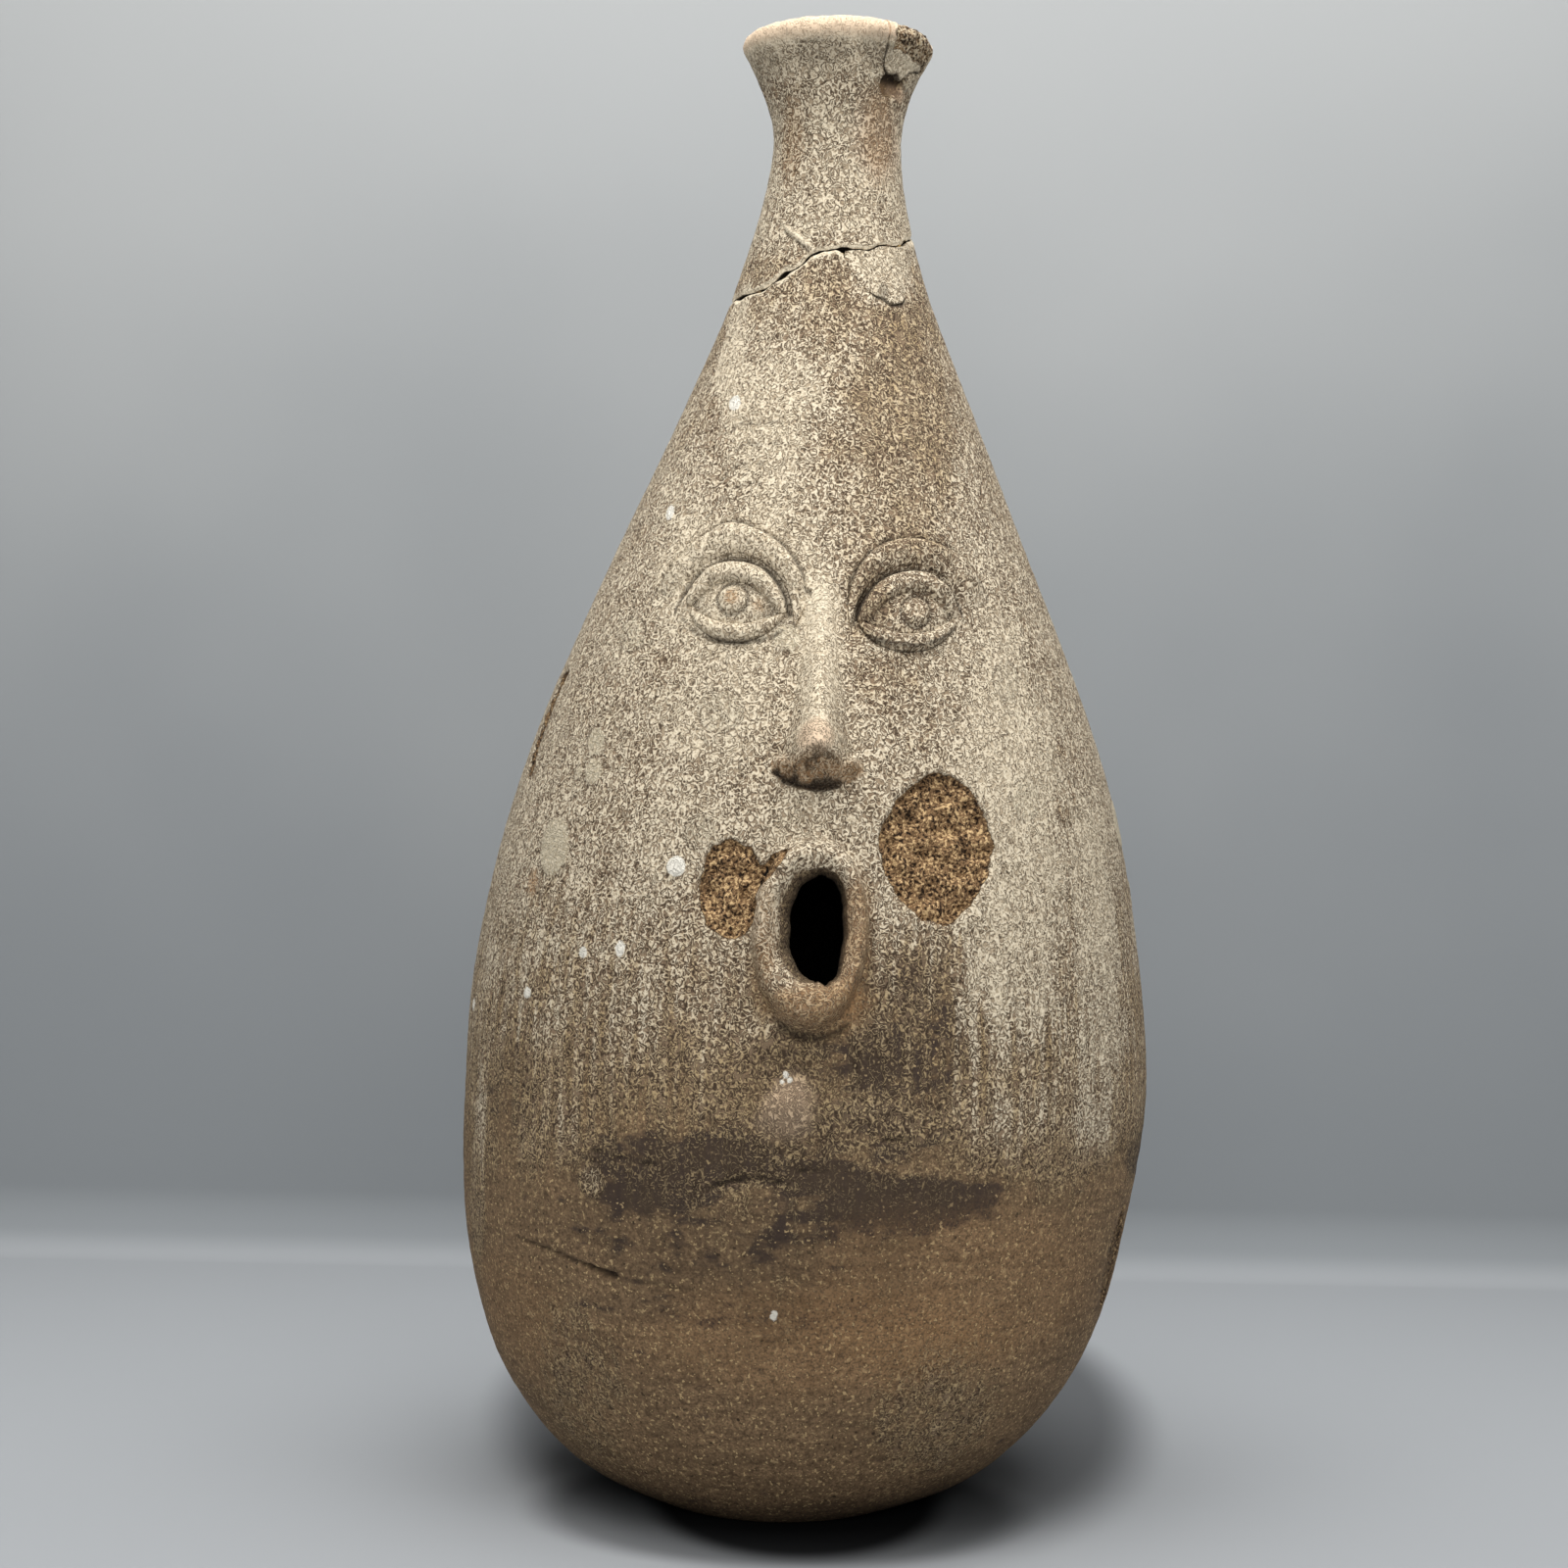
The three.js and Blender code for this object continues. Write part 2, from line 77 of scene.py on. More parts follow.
class Slot(Enum):
    """The record's material slots."""

    SLIPPED = "slipped_stoneware"
    BARE = "bare_stoneware"
    GLUE = "old_glue"


class Side(Enum):
    """Left and right as a person who looks at the face sees them."""

    LEFT = "left"
    RIGHT = "right"


class Look(Enum):
    """Weathering, and painted shade, that the clay finish reads from a piece's vertices."""

    COVER = "cover"
    STREAK = "streak"
    SMUDGE = "smudge"
    RUST = "rust"
    BLUSH = "blush"
    BURST = "burst"
    LICHEN = "lichen"
    CHALK = "chalk"
    # Dirt, with painted shade in creases, hollows and under things
    GRIME_AND_SHADE = "grime_and_shade"
    # Painted shade, nearly black, inside the body, down the mouth and in the breaks
    DEEP_SHADE = "deep_shade"


# Weathering that is given as a depth inside a mark
MARKS = (Look.BURST, Look.LICHEN, Look.CHALK)


def smoothstep(low: float, high: float, value: Field) -> Field:
    """Eases from 0 at one value to 1 at another, which may be the lower one."""
    share = np.clip((value - low) / (high - low), 0.0, 1.0)
    return share * share * (3.0 - 2.0 * share)


def dome(share: Field) -> Field:
    """A round swelling: 1 at share 0, and flat into 0 at share 1."""
    return np.clip(1.0 - share * share, 0.0, 1.0) ** 2


def oval(arc: Field, height: Field, middle: Place, half: Place) -> Field:
    """How far places are from the middle of an oval, 1 at its edge."""
    return np.hypot((arc - middle[0]) / half[0], (height - middle[1]) / half[1])


def lattice_noise(points: Field, cell: float, seed: int) -> Field:
    """Smooth noise that is the same on every run.

    Args:
        points: Places, with x, y and z in the last axis.
        cell: Size of a lump of noise.
        seed: Which noise.

    Returns:
        Values from about -1 to 1.
    """
    scaled = points / cell
    corner = np.floor(scaled).astype(np.int64)
    part = scaled - corner
    ease = part * part * part * (part * (part * 6.0 - 15.0) + 10.0)
    total = np.zeros(points.shape[:-1])
    for step in np.ndindex(2, 2, 2):
        at = corner + np.array(step)
        mixed = at[..., 0] * 374761393 + at[..., 1] * 668265263 + at[..., 2] * 1440662683
        mixed = mixed + seed * 971215073
        mixed = (mixed ^ (mixed >> 13)) * 1274126177
        mixed = mixed ^ (mixed >> 16)
        height = (mixed & 0xFFFF) / 32767.5 - 1.0
        weight = np.ones(points.shape[:-1])
        for axis in range(3):
            weight = weight * (ease[..., axis] if step[axis] else 1.0 - ease[..., axis])
        total = total + weight * height
    return total


def cloud_noise(points: Field, cell: float, seed: int, layers: int = 3) -> Field:
    """Noise with finer noise laid over it.

    Args:
        points: Places, with x, y and z in the last axis.
        cell: Size of the largest lumps.
        seed: Which noise.
        layers: How many layers, each half as large and half as strong as the one before.

    Returns:
        Values from about -1 to 1.
    """
    total = np.zeros(points.shape[:-1])
    for layer in range(layers):
        total = total + lattice_noise(points, cell / 2**layer, seed + layer) / 2**layer
    return total


def smooth_chain(places: Sequence[Place] | Field, count: int) -> Field:
    """A smooth line through places.

    Args:
        places: Places that the line passes through.
        count: How many points the line gets.

    Returns:
        Points, evenly spaced along the line.
    """
    knots = np.array(places, float)
    ends = np.vstack([2 * knots[0] - knots[1], knots, 2 * knots[-1] - knots[-2]])
    share = np.linspace(0.0, 1.0, 24, endpoint=False)[:, None]
    pieces = []
    for first in range(len(knots) - 1):
        a, b, c, d = ends[first : first + 4]
        pieces.append(
            0.5 * (2 * b + (c - a) * share + (2 * a - 5 * b + 4 * c - d) * share**2
                   + (3 * b - a - 3 * c + d) * share**3)
        )
    dense = np.vstack([*pieces, knots[-1:]])
    run = np.concatenate([[0.0], np.cumsum(np.linalg.norm(np.diff(dense, axis=0), axis=1))])
    even = np.linspace(0.0, run[-1], count)
    return np.stack([np.interp(even, run, dense[:, axis]) for axis in range(2)], axis=1)


def chain_distance(arc: Field, height: Field, chain: Field, reach: float) -> tuple[Field, Field]:
    """How far places on the wall are from a line.

    Args:
        arc: Arc lengths of the places.
        height: Heights of the places.
        chain: Points of the line.
        reach: Distance past which the answer may stay large.

    Returns:
        The distance, and the share of the way along the line where it is nearest.
    """
    near = np.full(arc.shape, 1e6)
    share = np.zeros(arc.shape)
    low, high = chain.min(axis=0) - reach, chain.max(axis=0) + reach
    inside = (arc > low[0]) & (arc < high[0]) & (height > low[1]) & (height < high[1])
    if not inside.any():
        return near, share
    spot = np.stack([arc[inside], height[inside]], axis=1)
    best = np.full(len(spot), 1e6)
    where = np.zeros(len(spot))
    steps = len(chain) - 1
    for index in range(steps):
        start, run = chain[index], chain[index + 1] - chain[index]
        along = np.clip(((spot - start) @ run) / max(run @ run, 1e-9), 0.0, 1.0)
        gap = np.linalg.norm(spot - start - along[:, None] * run, axis=1)
        nearer = gap < best
        best[nearer] = gap[nearer]
        where[nearer] = (index + along[nearer]) / steps
    near[inside] = best
    share[inside] = where
    return near, share


def outline_depth(arc: Field, height: Field, outline: Sequence[Place], reach: float) -> Field:
    """How deep inside a closed outline places on the wall are.

    Args:
        arc: Arc lengths of the places.
        height: Heights of the places.
        outline: Corners of the outline, in order.
        reach: Distance past which the answer may stay large.

    Returns:
        Distance to the outline, positive inside and negative outside.
    """
    ring = smooth_chain([*outline, outline[0]], 6 * len(outline))
    gap, _ = chain_distance(arc, height, ring, reach)
    inside = np.zeros(arc.shape, bool)
    for start, end in zip(ring, np.roll(ring, -1, axis=0)):
        crosses = (start[1] > height) != (end[1] > height)
        rise = end[1] - start[1] if end[1] != start[1] else 1e-9
        inside ^= crosses & (arc < (end[0] - start[0]) * (height - start[1]) / rise + start[0])
    return np.where(inside, gap, -gap)


def neck_ring(turn: Field) -> Field:
    """Places round the neck, where the noise along its edges is read."""
    return np.stack([NECK_RING * np.sin(turn), NECK_RING * np.cos(turn), 0 * turn], axis=-1)


def disc_grid(count: int) -> tuple[Field, Field]:
    """A square grid of points, pressed round so that its border is a circle of radius 1."""
    x, y = np.meshgrid(*[np.linspace(-1.0, 1.0, count)] * 2)
    return x * np.sqrt(1 - y * y / 2), y * np.sqrt(1 - x * x / 2)


def bezier(points: Sequence[Place], count: int) -> Field:
    """A cubic curve.

    Args:
        points: Its four handles.
        count: How many points it gets.

    Returns:
        Points along the curve.
    """
    a, b, c, d = (np.array(point, float) for point in points)
    t = np.linspace(0.0, 1.0, count)[:, None]
    return (1 - t) ** 3 * a + 3 * (1 - t) ** 2 * t * b + 3 * (1 - t) * t**2 * c + t**3 * d


@dataclass(frozen=True)
class BottleForm:
    """The thrown bottle that every piece sits on: a lathe form with a lean and a little unevenness."""

    height: float = 460.0
    foot_radius: float = 46.0
    belly_radius: float = 107.5
    belly_height: float = 126.0
    belly_fullness: float = 45.0
    shoulder: Place = (80.0, 259.0)
    shoulder_fullness: float = 45.0
    cone_top: Place = (36.0, 364.0)
    neck_sweep: float = 20.0
    neck_radius: float = 20.2
    waist_height: float = 425.0
    neck_straight: float = 17.0
    rim_radius: float = 30.0
    rim_flare: float = 9.0
    flare_angle: float = math.radians(27.0)
    lip_round: float = 4.0
    floor_thickness: float = 12.0
    body_wall: float = 9.0
    neck_wall: float = 6.5
    lean: float = math.radians(1.0)
    seam_height: float = 98.0
    break_height: float = 387.4
    break_slope: float = math.radians(20.8)
    rim_drop: float = 1.1
    rim_drop_span: Place = (438.0, 457.0)
    step: float = 0.25
    # How far the outline stands off the lathe form: height, left side, right side
    uneven: tuple[tuple[float, float, float], ...] = (
        (0, 0.0, -3.5), (12, 0.4, -2.8), (25, 1.2, -1.0), (40, 2.2, 0.3), (60, 1.9, 0.5),
        (80, 1.4, 0.2), (100, 0.3, 1.0), (125, -0.8, 2.1), (150, -0.5, 1.4), (180, -0.7, 0.6),
        (230, -0.8, 0.4), (300, -0.5, 0.1), (360, -0.8, -0.1), (390, 0.0, -0.1),
        (425, 0.0, 0.1), (445, 0.8, -0.6), (462, 0.9, -0.3),
    )
    # How far the break leaves its plane: degrees round from the front, millimetres up
    break_offsets: tuple[Place, ...] = (
        (-180, 0.0), (-120, -1.0), (-73, -2.9), (-44, -5.2), (-33, -3.3), (-20, -1.8), (-12, 0.1),
        (2, -1.3), (19, -3.8), (33, -4.0), (49, -4.9), (75, -3.0), (110, 0.5), (180, 0.0),
    )
    # Where the break is chipped open: degrees round, half width and half gap
    break_chips: tuple[tuple[float, float, float], ...] = (
        (-64, 7, 0.5), (-31, 5, 0.8), (-17, 4, 0.4), (7, 6, 1.0), (60, 6, 0.9), (118, 9, 0.6),
        (-150, 12, 0.7),
    )

    @cached_property
    def lip_centre(self) -> Place:
        """Middle of the lip's round, as radius and height."""
        return (self.rim_radius - self.lip_round, self.height - self.lip_round)

    @cached_property
    def stations(self) -> Field:
        """The outside from the foot's edge to the inner edge of the lip.

        Returns:
            Rows of radius, height, the two parts of the outward direction, and length so far.
        """
        turn = np.linspace(-math.pi / 2, 0.0, 80)
        bowl = np.stack([
            self.foot_radius + (self.belly_radius - self.foot_radius) * np.cos(turn),
            self.belly_height + self.belly_height * np.sin(turn),
        ], axis=1)
        shoulder, top = np.array(self.shoulder), np.array(self.cone_top)
        cone = (top - shoulder) / np.linalg.norm(top - shoulder)
        lip = np.array(self.lip_centre)
        flare = np.array([math.sin(self.flare_angle), math.cos(self.flare_angle)])
        flare_end = lip + self.lip_round * np.array([flare[1], -flare[0]])
        belly = (self.belly_radius, self.belly_height)
        waist = (self.neck_radius, self.waist_height)
        round_turn = np.linspace(-self.flare_angle, math.pi, 60)
        dense = np.vstack([
            bowl,
            bezier([belly, (belly[0], belly[1] + self.belly_fullness),
                    shoulder - self.shoulder_fullness * cone, shoulder], 80)[1:],
            np.linspace(shoulder, top, 60)[1:],
            bezier([top, top + self.neck_sweep * cone,
                    (waist[0], waist[1] - self.neck_straight), waist], 60)[1:],
            bezier([waist, (waist[0], waist[1] + self.rim_flare),
                    flare_end - self.rim_flare * flare, flare_end], 60)[1:],
            np.stack([lip[0] + self.lip_round * np.cos(round_turn),
                      lip[1] + self.lip_round * np.sin(round_turn)], axis=1)[1:],
        ])
        run = np.concatenate([[0.0], np.cumsum(np.linalg.norm(np.diff(dense, axis=0), axis=1))])
        even = np.arange(0.0, run[-1], self.step)
        radius = np.interp(even, run, dense[:, 0])
        height = np.interp(even, run, dense[:, 1])
        out_radius = np.gradient(height, even)
        out_height = -np.gradient(radius, even)
        size = np.hypot(out_radius, out_height)
        return np.stack([radius, height, out_radius / size, out_height / size, even], axis=1)

    @cached_property
    def rising(self) -> Field:
        """The stations up to the highest one."""
        return self.stations[: np.argmax(self.stations[:, 1]) + 1]

    @cached_property
    def uneven_curve(self) -> Field:
        """The unevenness as a smooth table.

        Returns:
            Rows of height, left and right.
        """
        rows = np.array(self.uneven)
        height = np.linspace(rows[0, 0], rows[-1, 0], 240)
        sides = [smooth_chain(rows[:, [0, side]], 240) for side in (1, 2)]
        return np.stack([height, *(np.interp(height, *side.T) for side in sides)], axis=1)

    def along(self, height: Field) -> Field:
        """Length along the outside, from the foot's edge up to a height."""
        return np.interp(height, self.rising[:, 1], self.rising[:, 4])

    def radius(self, height: Field) -> Field:
        """Radius of the outside at a height."""
        return np.interp(height, self.rising[:, 1], self.rising[:, 0])

    def height_at(self, along: Field) -> Field:
        """Height of the outside at a length along it."""
        return np.interp(along, self.stations[:, 4], self.stations[:, 1])

    def radius_at(self, along: Field) -> Field:
        """Radius of the outside at a length along it."""
        return np.interp(along, self.stations[:, 4], self.stations[:, 0])

    def thickness(self, height: Field) -> Field:
        """Thickness of the wall, with a thick floor, an even belly and a thinner neck.

        Args:
            height: Heights above the foot.

        Returns:
            Millimetres.
        """
        risen = smoothstep(0.0, self.belly_height, height)
        necked = smoothstep(self.shoulder[1], self.waist_height, height)
        return (self.floor_thickness + (self.body_wall - self.floor_thickness) * risen
                + (self.neck_wall - self.body_wall) * necked)

    def unevenness(self, turn: Field, height: Field) -> Field:
        """How far the hand-made wall stands off the lathe form.

        Args:
            turn: Angles round from the front, in radians.
            height: Heights above the foot.

        Returns:
            Millimetres outwards.
        """
        table = self.uneven_curve
        side = np.sin(turn)
        left = np.interp(height, table[:, 0], table[:, 1])
        right = np.interp(height, table[:, 0], table[:, 2])
        return left * np.clip(-side, 0, 1) ** 2 + right * np.clip(side, 0, 1) ** 2

    def point(self, turn: Field, along: Field, lift: Field | float) -> Field:
        """Points on or off the outside of the bottle.

        Args:
            turn: Angles round from the front, in radians.
            along: Lengths along the outside from the foot's edge.
            lift: Distances straight off the wall.

        Returns:
            Points in millimetres, with the lean.
        """
        columns = [np.interp(along, self.stations[:, 4], self.stations[:, k]) for k in range(4)]
        height = columns[1] + lift * columns[3] - self.rim_sag(columns[1])
        radius = columns[0] + lift * columns[2] + self.unevenness(turn, columns[1])
        return self.leaned(radius, turn, height)

    def rim_sag(self, height: Field) -> Field:
        """How far the rim has sagged at a height."""
        return self.rim_drop * smoothstep(*self.rim_drop_span, height)

    def leaned(self, radius: Field, turn: Field, height: Field) -> Field:
        """Points at a radius, an angle and a height, with the bottle's lean."""
        x = radius * np.sin(turn) + math.tan(self.lean) * height
        return np.stack(np.broadcast_arrays(x, -radius * np.cos(turn), height), axis=-1)

    def break_gap(self, turn: Field) -> Field:
        """Half the gap of the break, which opens where its edges have chipped.

        Args:
            turn: Angles round from the front, in radians.

        Returns:
            Millimetres from the break line to either edge.
        """
        degrees = np.degrees(turn)
        gap = 0.34 + 0.14 * cloud_noise(neck_ring(turn), 3.0, 77, 2)
        for at, wide, more in self.break_chips:
            gap = gap + more * dome((degrees - at) / wide)
        return np.maximum(gap, 0.12)

    def break_line(self, turn: Field) -> Field:
        """Height of the glued break round the neck.

        Args:
            turn: Angles round from the front, in radians.

        Returns:
            Heights of the break on the outside of the wall.
        """
        height = np.full(np.shape(turn), self.break_height)
        for _ in range(12):
            plane = self.break_height + math.tan(self.break_slope) * self.radius(height) * np.sin(turn)
            height = 0.5 * (height + plane)
        table = smooth_chain(self.break_offsets, 400)
        offset = np.interp(np.degrees(turn), table[:, 0], table[:, 1])
        return height + offset + 0.35 * cloud_noise(neck_ring(turn), 4.0, 71, 2)


@dataclass(frozen=True)
class Spots:
    """Places on the bottle where something is worked out."""

    form: BottleForm
    turn: Field
    along: Field

    @classmethod
    def on_wall(cls, form: BottleForm, arc: Field, height: Field) -> "Spots":
        """Spots from arc lengths and heights."""
        return cls(form, arc / form.radius(height), form.along(height))

    def lifted(self, lift: Field | float) -> Field:
        """Points at distances straight off the wall from the spots."""
        return self.form.point(self.turn, self.along, lift)

    @cached_property
    def height(self) -> Field:
        """Heights of the spots on the outside."""
        return self.form.height_at(self.along)

    @cached_property
    def arc(self) -> Field:
        """Arc lengths of the spots from the front line."""
        return self.turn * self.form.radius_at(self.along)

    @cached_property
    def plain(self) -> Field:
        """The spots on the lathe form, where noise is read."""
        radius = self.form.radius_at(self.along)
        return np.stack([radius * np.sin(self.turn), -radius * np.cos(self.turn), self.height], axis=-1)


@dataclass(frozen=True)
class Groove:
    """A crack, crease or tool line in the wall."""

    line: tuple[Place, ...]
    half_width: float
    depth: float
    # How dark the cut is: dirt and painted shade
    grime_and_shade: float = 0.9
    pale: float = 0.0
    ragged: float = 0.35

    def reading(self, spots: Spots) -> tuple[Field, Field, Field]:
        """What the groove does to spots.

        Args:
            spots: Places on the wall.

        Returns:
            Depth, darkening of dirt and painted shade, and pale edge.
        """
        chain = smooth_chain(self.line, max(8, 5 * len(self.line)))
        wander = self.ragged * lattice_noise(spots.plain, 2.2, 11)
        gap, share = chain_distance(spots.arc, spots.height, chain, 6 * self.half_width + 2)
        gap = np.abs(gap + wander)
        taper = np.clip(8 * np.minimum(share, 1 - share), 0.25, 1.0)
        cut = dome(gap / (self.half_width * taper))
        edge = smoothstep(2.6 * self.half_width, 1.1 * self.half_width, gap)
        edge = edge * (1 - cut) if self.depth > 0 else cut
        return self.depth * cut * taper, self.grime_and_shade * cut, self.pale * edge


@dataclass(frozen=True)
class Burst:
    """A place where the face of the wall has burst off and coarse clay shows."""

    outline: tuple[Place, ...]
    depth: float
    grain: float
    edge: float = 0.6
    look: Look = Look.BURST
    strength: float = DEEP

    def inside(self, spots: Spots) -> Field:
        """How deep inside the ragged outline spots are, negative outside."""
        ragged = 0.7 * cloud_noise(spots.plain, 4.0, 21, 2)
        return outline_depth(spots.arc, spots.height, self.outline, 12.0) + ragged

    def sink(self, spots: Spots) -> Field:
        """How far the grainy floor of the burst lies below the wall.

        Args:
            spots: Places on the wall.

        Returns:
            Millimetres inwards.
        """
        floor = smoothstep(0.0, self.edge, self.inside(spots))
        grain = cloud_noise(spots.plain, 3.2, 31, 3)
        hollow = 1.0 + 0.25 * lattice_noise(spots.plain, 9.0, 35)
        return floor * (self.depth * hollow + 1.4 * self.grain * grain)


@dataclass(frozen=True)
class Patch:
    """An oval stretch of wall with one kind of weathering."""

    look: Look
    arc: float
    height: float
    half_width: float
    half_height: float

    @property
    def half(self) -> float:
        """Half the smaller of its sizes."""
        return min(self.half_width, self.half_height)

    def away(self, arc: Field, height: Field) -> Field:
        """How far places on the wall are from its middle, 1 at its edge."""
        return oval(arc, height, (self.arc, self.height), (self.half_width, self.half_height))


@dataclass(frozen=True)
class Spot(Patch):
    """A patch that has settled on the wall and stands off it."""

    rise: float = 0.25

    @property
    def strength(self) -> float:
        """How deep the patch counts at most: a flat patch is a faint one."""
        return DEEP if self.look is Look.CHALK else 3.0 * self.rise - 0.1

    def inside(self, spots: Spots) -> Field:
        """How deep inside the patch spots are, negative outside."""
        return (1.0 - self.away(spots.arc, spots.height)) * self.half


@dataclass(frozen=True)
class Zone(Patch):
    """A soft-edged patch with more or less of its weathering."""

    amount: float

    def share(self, arc: Field, height: Field) -> Field:
        """How much of the zone's amount reaches places on the wall."""
        return self.amount * smoothstep(1.25, 0.6, self.away(arc, height))


BROW_LINES: dict[Side, tuple[Place, ...]] = {
    Side.LEFT: ((-58.0, 272.5), (-53.0, 281.0), (-47.0, 288.0), (-37.7, 295.1), (-29.4, 298.8),
                (-21.2, 296.9), (-12.2, 291.4), (-6.2, 283.1), (-4.6, 274.0)),
    Side.RIGHT: ((7.8, 274.0), (8.4, 280.5), (11.7, 287.1), (17.8, 292.8), (27.6, 295.0),
                 (39.1, 292.7), (48.0, 287.4), (53.5, 281.0), (57.3, 274.0)),
}
LID_GROOVES: dict[Side, tuple[Place, ...]] = {
    Side.LEFT: ((-46.5, 271.0), (-43.5, 277.5), (-37.0, 283.6), (-26.3, 287.2), (-16.5, 283.2),
                (-11.2, 275.8), (-9.0, 267.0)),
    Side.RIGHT: ((9.6, 267.5), (12.2, 275.0), (18.0, 282.0), (27.1, 284.9), (36.8, 282.3),
                 (43.0, 276.4), (46.0, 269.5)),
}
LOWER_GROOVES: dict[Side, tuple[Place, ...]] = {
    Side.LEFT: ((-44.0, 269.0), (-38.0, 264.0), (-25.5, 261.6), (-16.0, 263.0), (-10.0, 266.0)),
    Side.RIGHT: ((10.5, 266.5), (17.0, 262.8), (27.4, 261.0), (37.0, 264.0), (44.0, 269.0)),
}

# Grooves are darkened in the cut with dirt and painted shade
GROOVES: tuple[Groove, ...] = (
    *(Groove(BROW_LINES[side], 0.9, 0.9, 0.75) for side in Side),
    *(Groove(LID_GROOVES[side], 1.5, 1.5, 0.95) for side in Side),
    *(Groove(LOWER_GROOVES[side], 0.9, 0.7, 0.7) for side in Side),
    # Small hook by the bridge of the nose
    Groove(((-5.2, 278.3), (-3.6, 277.2), (-3.7, 274.8), (-5.0, 274.2)), 0.5, 0.6, 0.7),
    # Crease under the nose and under the lip, with painted shadow under them
    Groove(((-11.4, 223.0), (-8.6, 220.9), (-0.6, 219.3), (5.5, 219.8), (8.6, 221.2)), 1.1, 1.2, 1.0),
    Groove(((-9.4, 154.0), (-5.0, 149.9), (0.9, 148.4), (7.5, 149.6), (12.8, 153.4)), 1.8, 1.0, 0.8),
    Groove(((16.9, 184.5), (17.9, 173.4), (16.2, 159.5)), 0.8, 0.5, 0.5),
    # Creases along the band where the slip stops
    Groove(((-28.7, 104.3), (-23.0, 106.3), (-16.0, 108.0), (-9.0, 108.0), (-3.3, 106.5)),
           1.1, 1.0, 0.95, 0.15),
    Groove(((-2.1, 110.5), (4.8, 111.4), (12.3, 111.5)), 0.8, 0.7, 0.9),
    Groove(((-65.9, 113.5), (-52.0, 111.8), (-40.0, 110.3)), 0.8, 0.6, 0.8),
    Groove(((22.8, 119.6), (27.1, 119.9), (31.5, 120.1)), 0.6, 0.6, 0.8),
    # Drying crack on the lower left, and the flake crack on the lower right
    Groove(((-95.8, 83.7), (-81.1, 82.0), (-68.8, 79.7), (-61.4, 77.9), (-52.7, 76.5)), 0.9, 0.9, 0.8),
    Groove(((-54.0, 76.7), (-38.2, 75.2), (-26.0, 74.3)), 0.7, 0.5, 0.45),
    Groove(((-27.0, 74.4), (-20.4, 73.8), (7.8, 71.0)), 0.6, 0.3, 0.2),
    Groove(((-69.0, 79.7), (-61.4, 77.9), (-53.0, 76.6)), 1.2, 1.3, 1.0),
    Groove(((131.0, 92.0), (125.4, 83.0), (122.9, 75.7), (122.8, 68.0), (128.5, 58.0)), 1.3, 1.6, 1.0),
    # Crazing across the forehead
    Groove(((-32.5, 327.7), (-26.7, 330.6), (-18.6, 330.2), (-11.9, 330.0)), 0.6, 0.2, 0.6, 0.0, 0.6),
    Groove(((-30.0, 320.5), (-26.7, 323.2), (-19.7, 322.9), (-13.6, 323.7)), 0.6, 0.2, 0.55, 0.0, 0.6),
    Groove(((-36.0, 309.0), (-31.0, 315.0), (-26.0, 317.5), (-19.0, 317.5)), 0.6, 0.2, 0.5, 0.0, 0.6),
    Groove(((-38.0, 300.0), (-33.0, 306.5), (-27.5, 310.0), (-20.0, 311.0)), 0.6, 0.2, 0.45, 0.0, 0.6),
    # Branch of the break on the neck, and a hairline in the rim
    Groove(((-17.1, 395.0), (-10.7, 389.9), (-6.4, 386.8)), 1.1, -0.65, 0.0, 1.2, 0.15),
    Groove(((-17.6, 393.7), (-11.2, 388.5), (-7.0, 385.5)), 0.5, 0.4, 0.7, 0.0, 0.1),
    Groove(((-16.8, 452.5), (-11.6, 451.8), (-6.5, 451.5)), 0.4, 0.4, 0.8, 0.0, 0.2),
)

BURSTS: tuple[Burst, ...] = (
    Burst(((26.7, 219.4), (35.8, 225.0), (45.5, 221.4), (51.7, 213.0), (55.3, 203.1), (52.6, 193.1),
           (46.1, 184.7), (38.4, 180.5), (27.7, 186.0), (21.5, 194.8), (18.9, 204.0), (21.3, 211.7)),
          2.2, 1.25),
    Burst(((-29.5, 202.4), (-24.2, 203.7), (-18.3, 201.9), (-14.7, 197.2), (-11.2, 200.1),
           (-7.6, 201.8), (-6.6, 199.9), (-9.0, 196.2), (-12.3, 192.8), (-14.7, 190.0),
           (-15.9, 184.4), (-17.4, 179.3), (-21.5, 176.2), (-28.0, 177.9), (-31.8, 183.3),
           (-32.4, 190.3), (-31.9, 197.3)), 1.8, 1.2),
)

FLAKES: tuple[Burst, ...] = (
    Burst(((-103.0, 254.0), (-108.5, 243.0), (-113.5, 231.8), (-115.0, 220.5), (-120.0, 226.0),
           (-117.0, 240.0), (-109.0, 252.0)), 1.1, 0.3),
    Burst(((132.0, 92.0), (126.0, 82.6), (123.6, 75.7), (123.4, 68.0), (129.0, 59.5),
           (138.0, 64.0), (141.0, 80.0)), 1.3, 0.3),
)

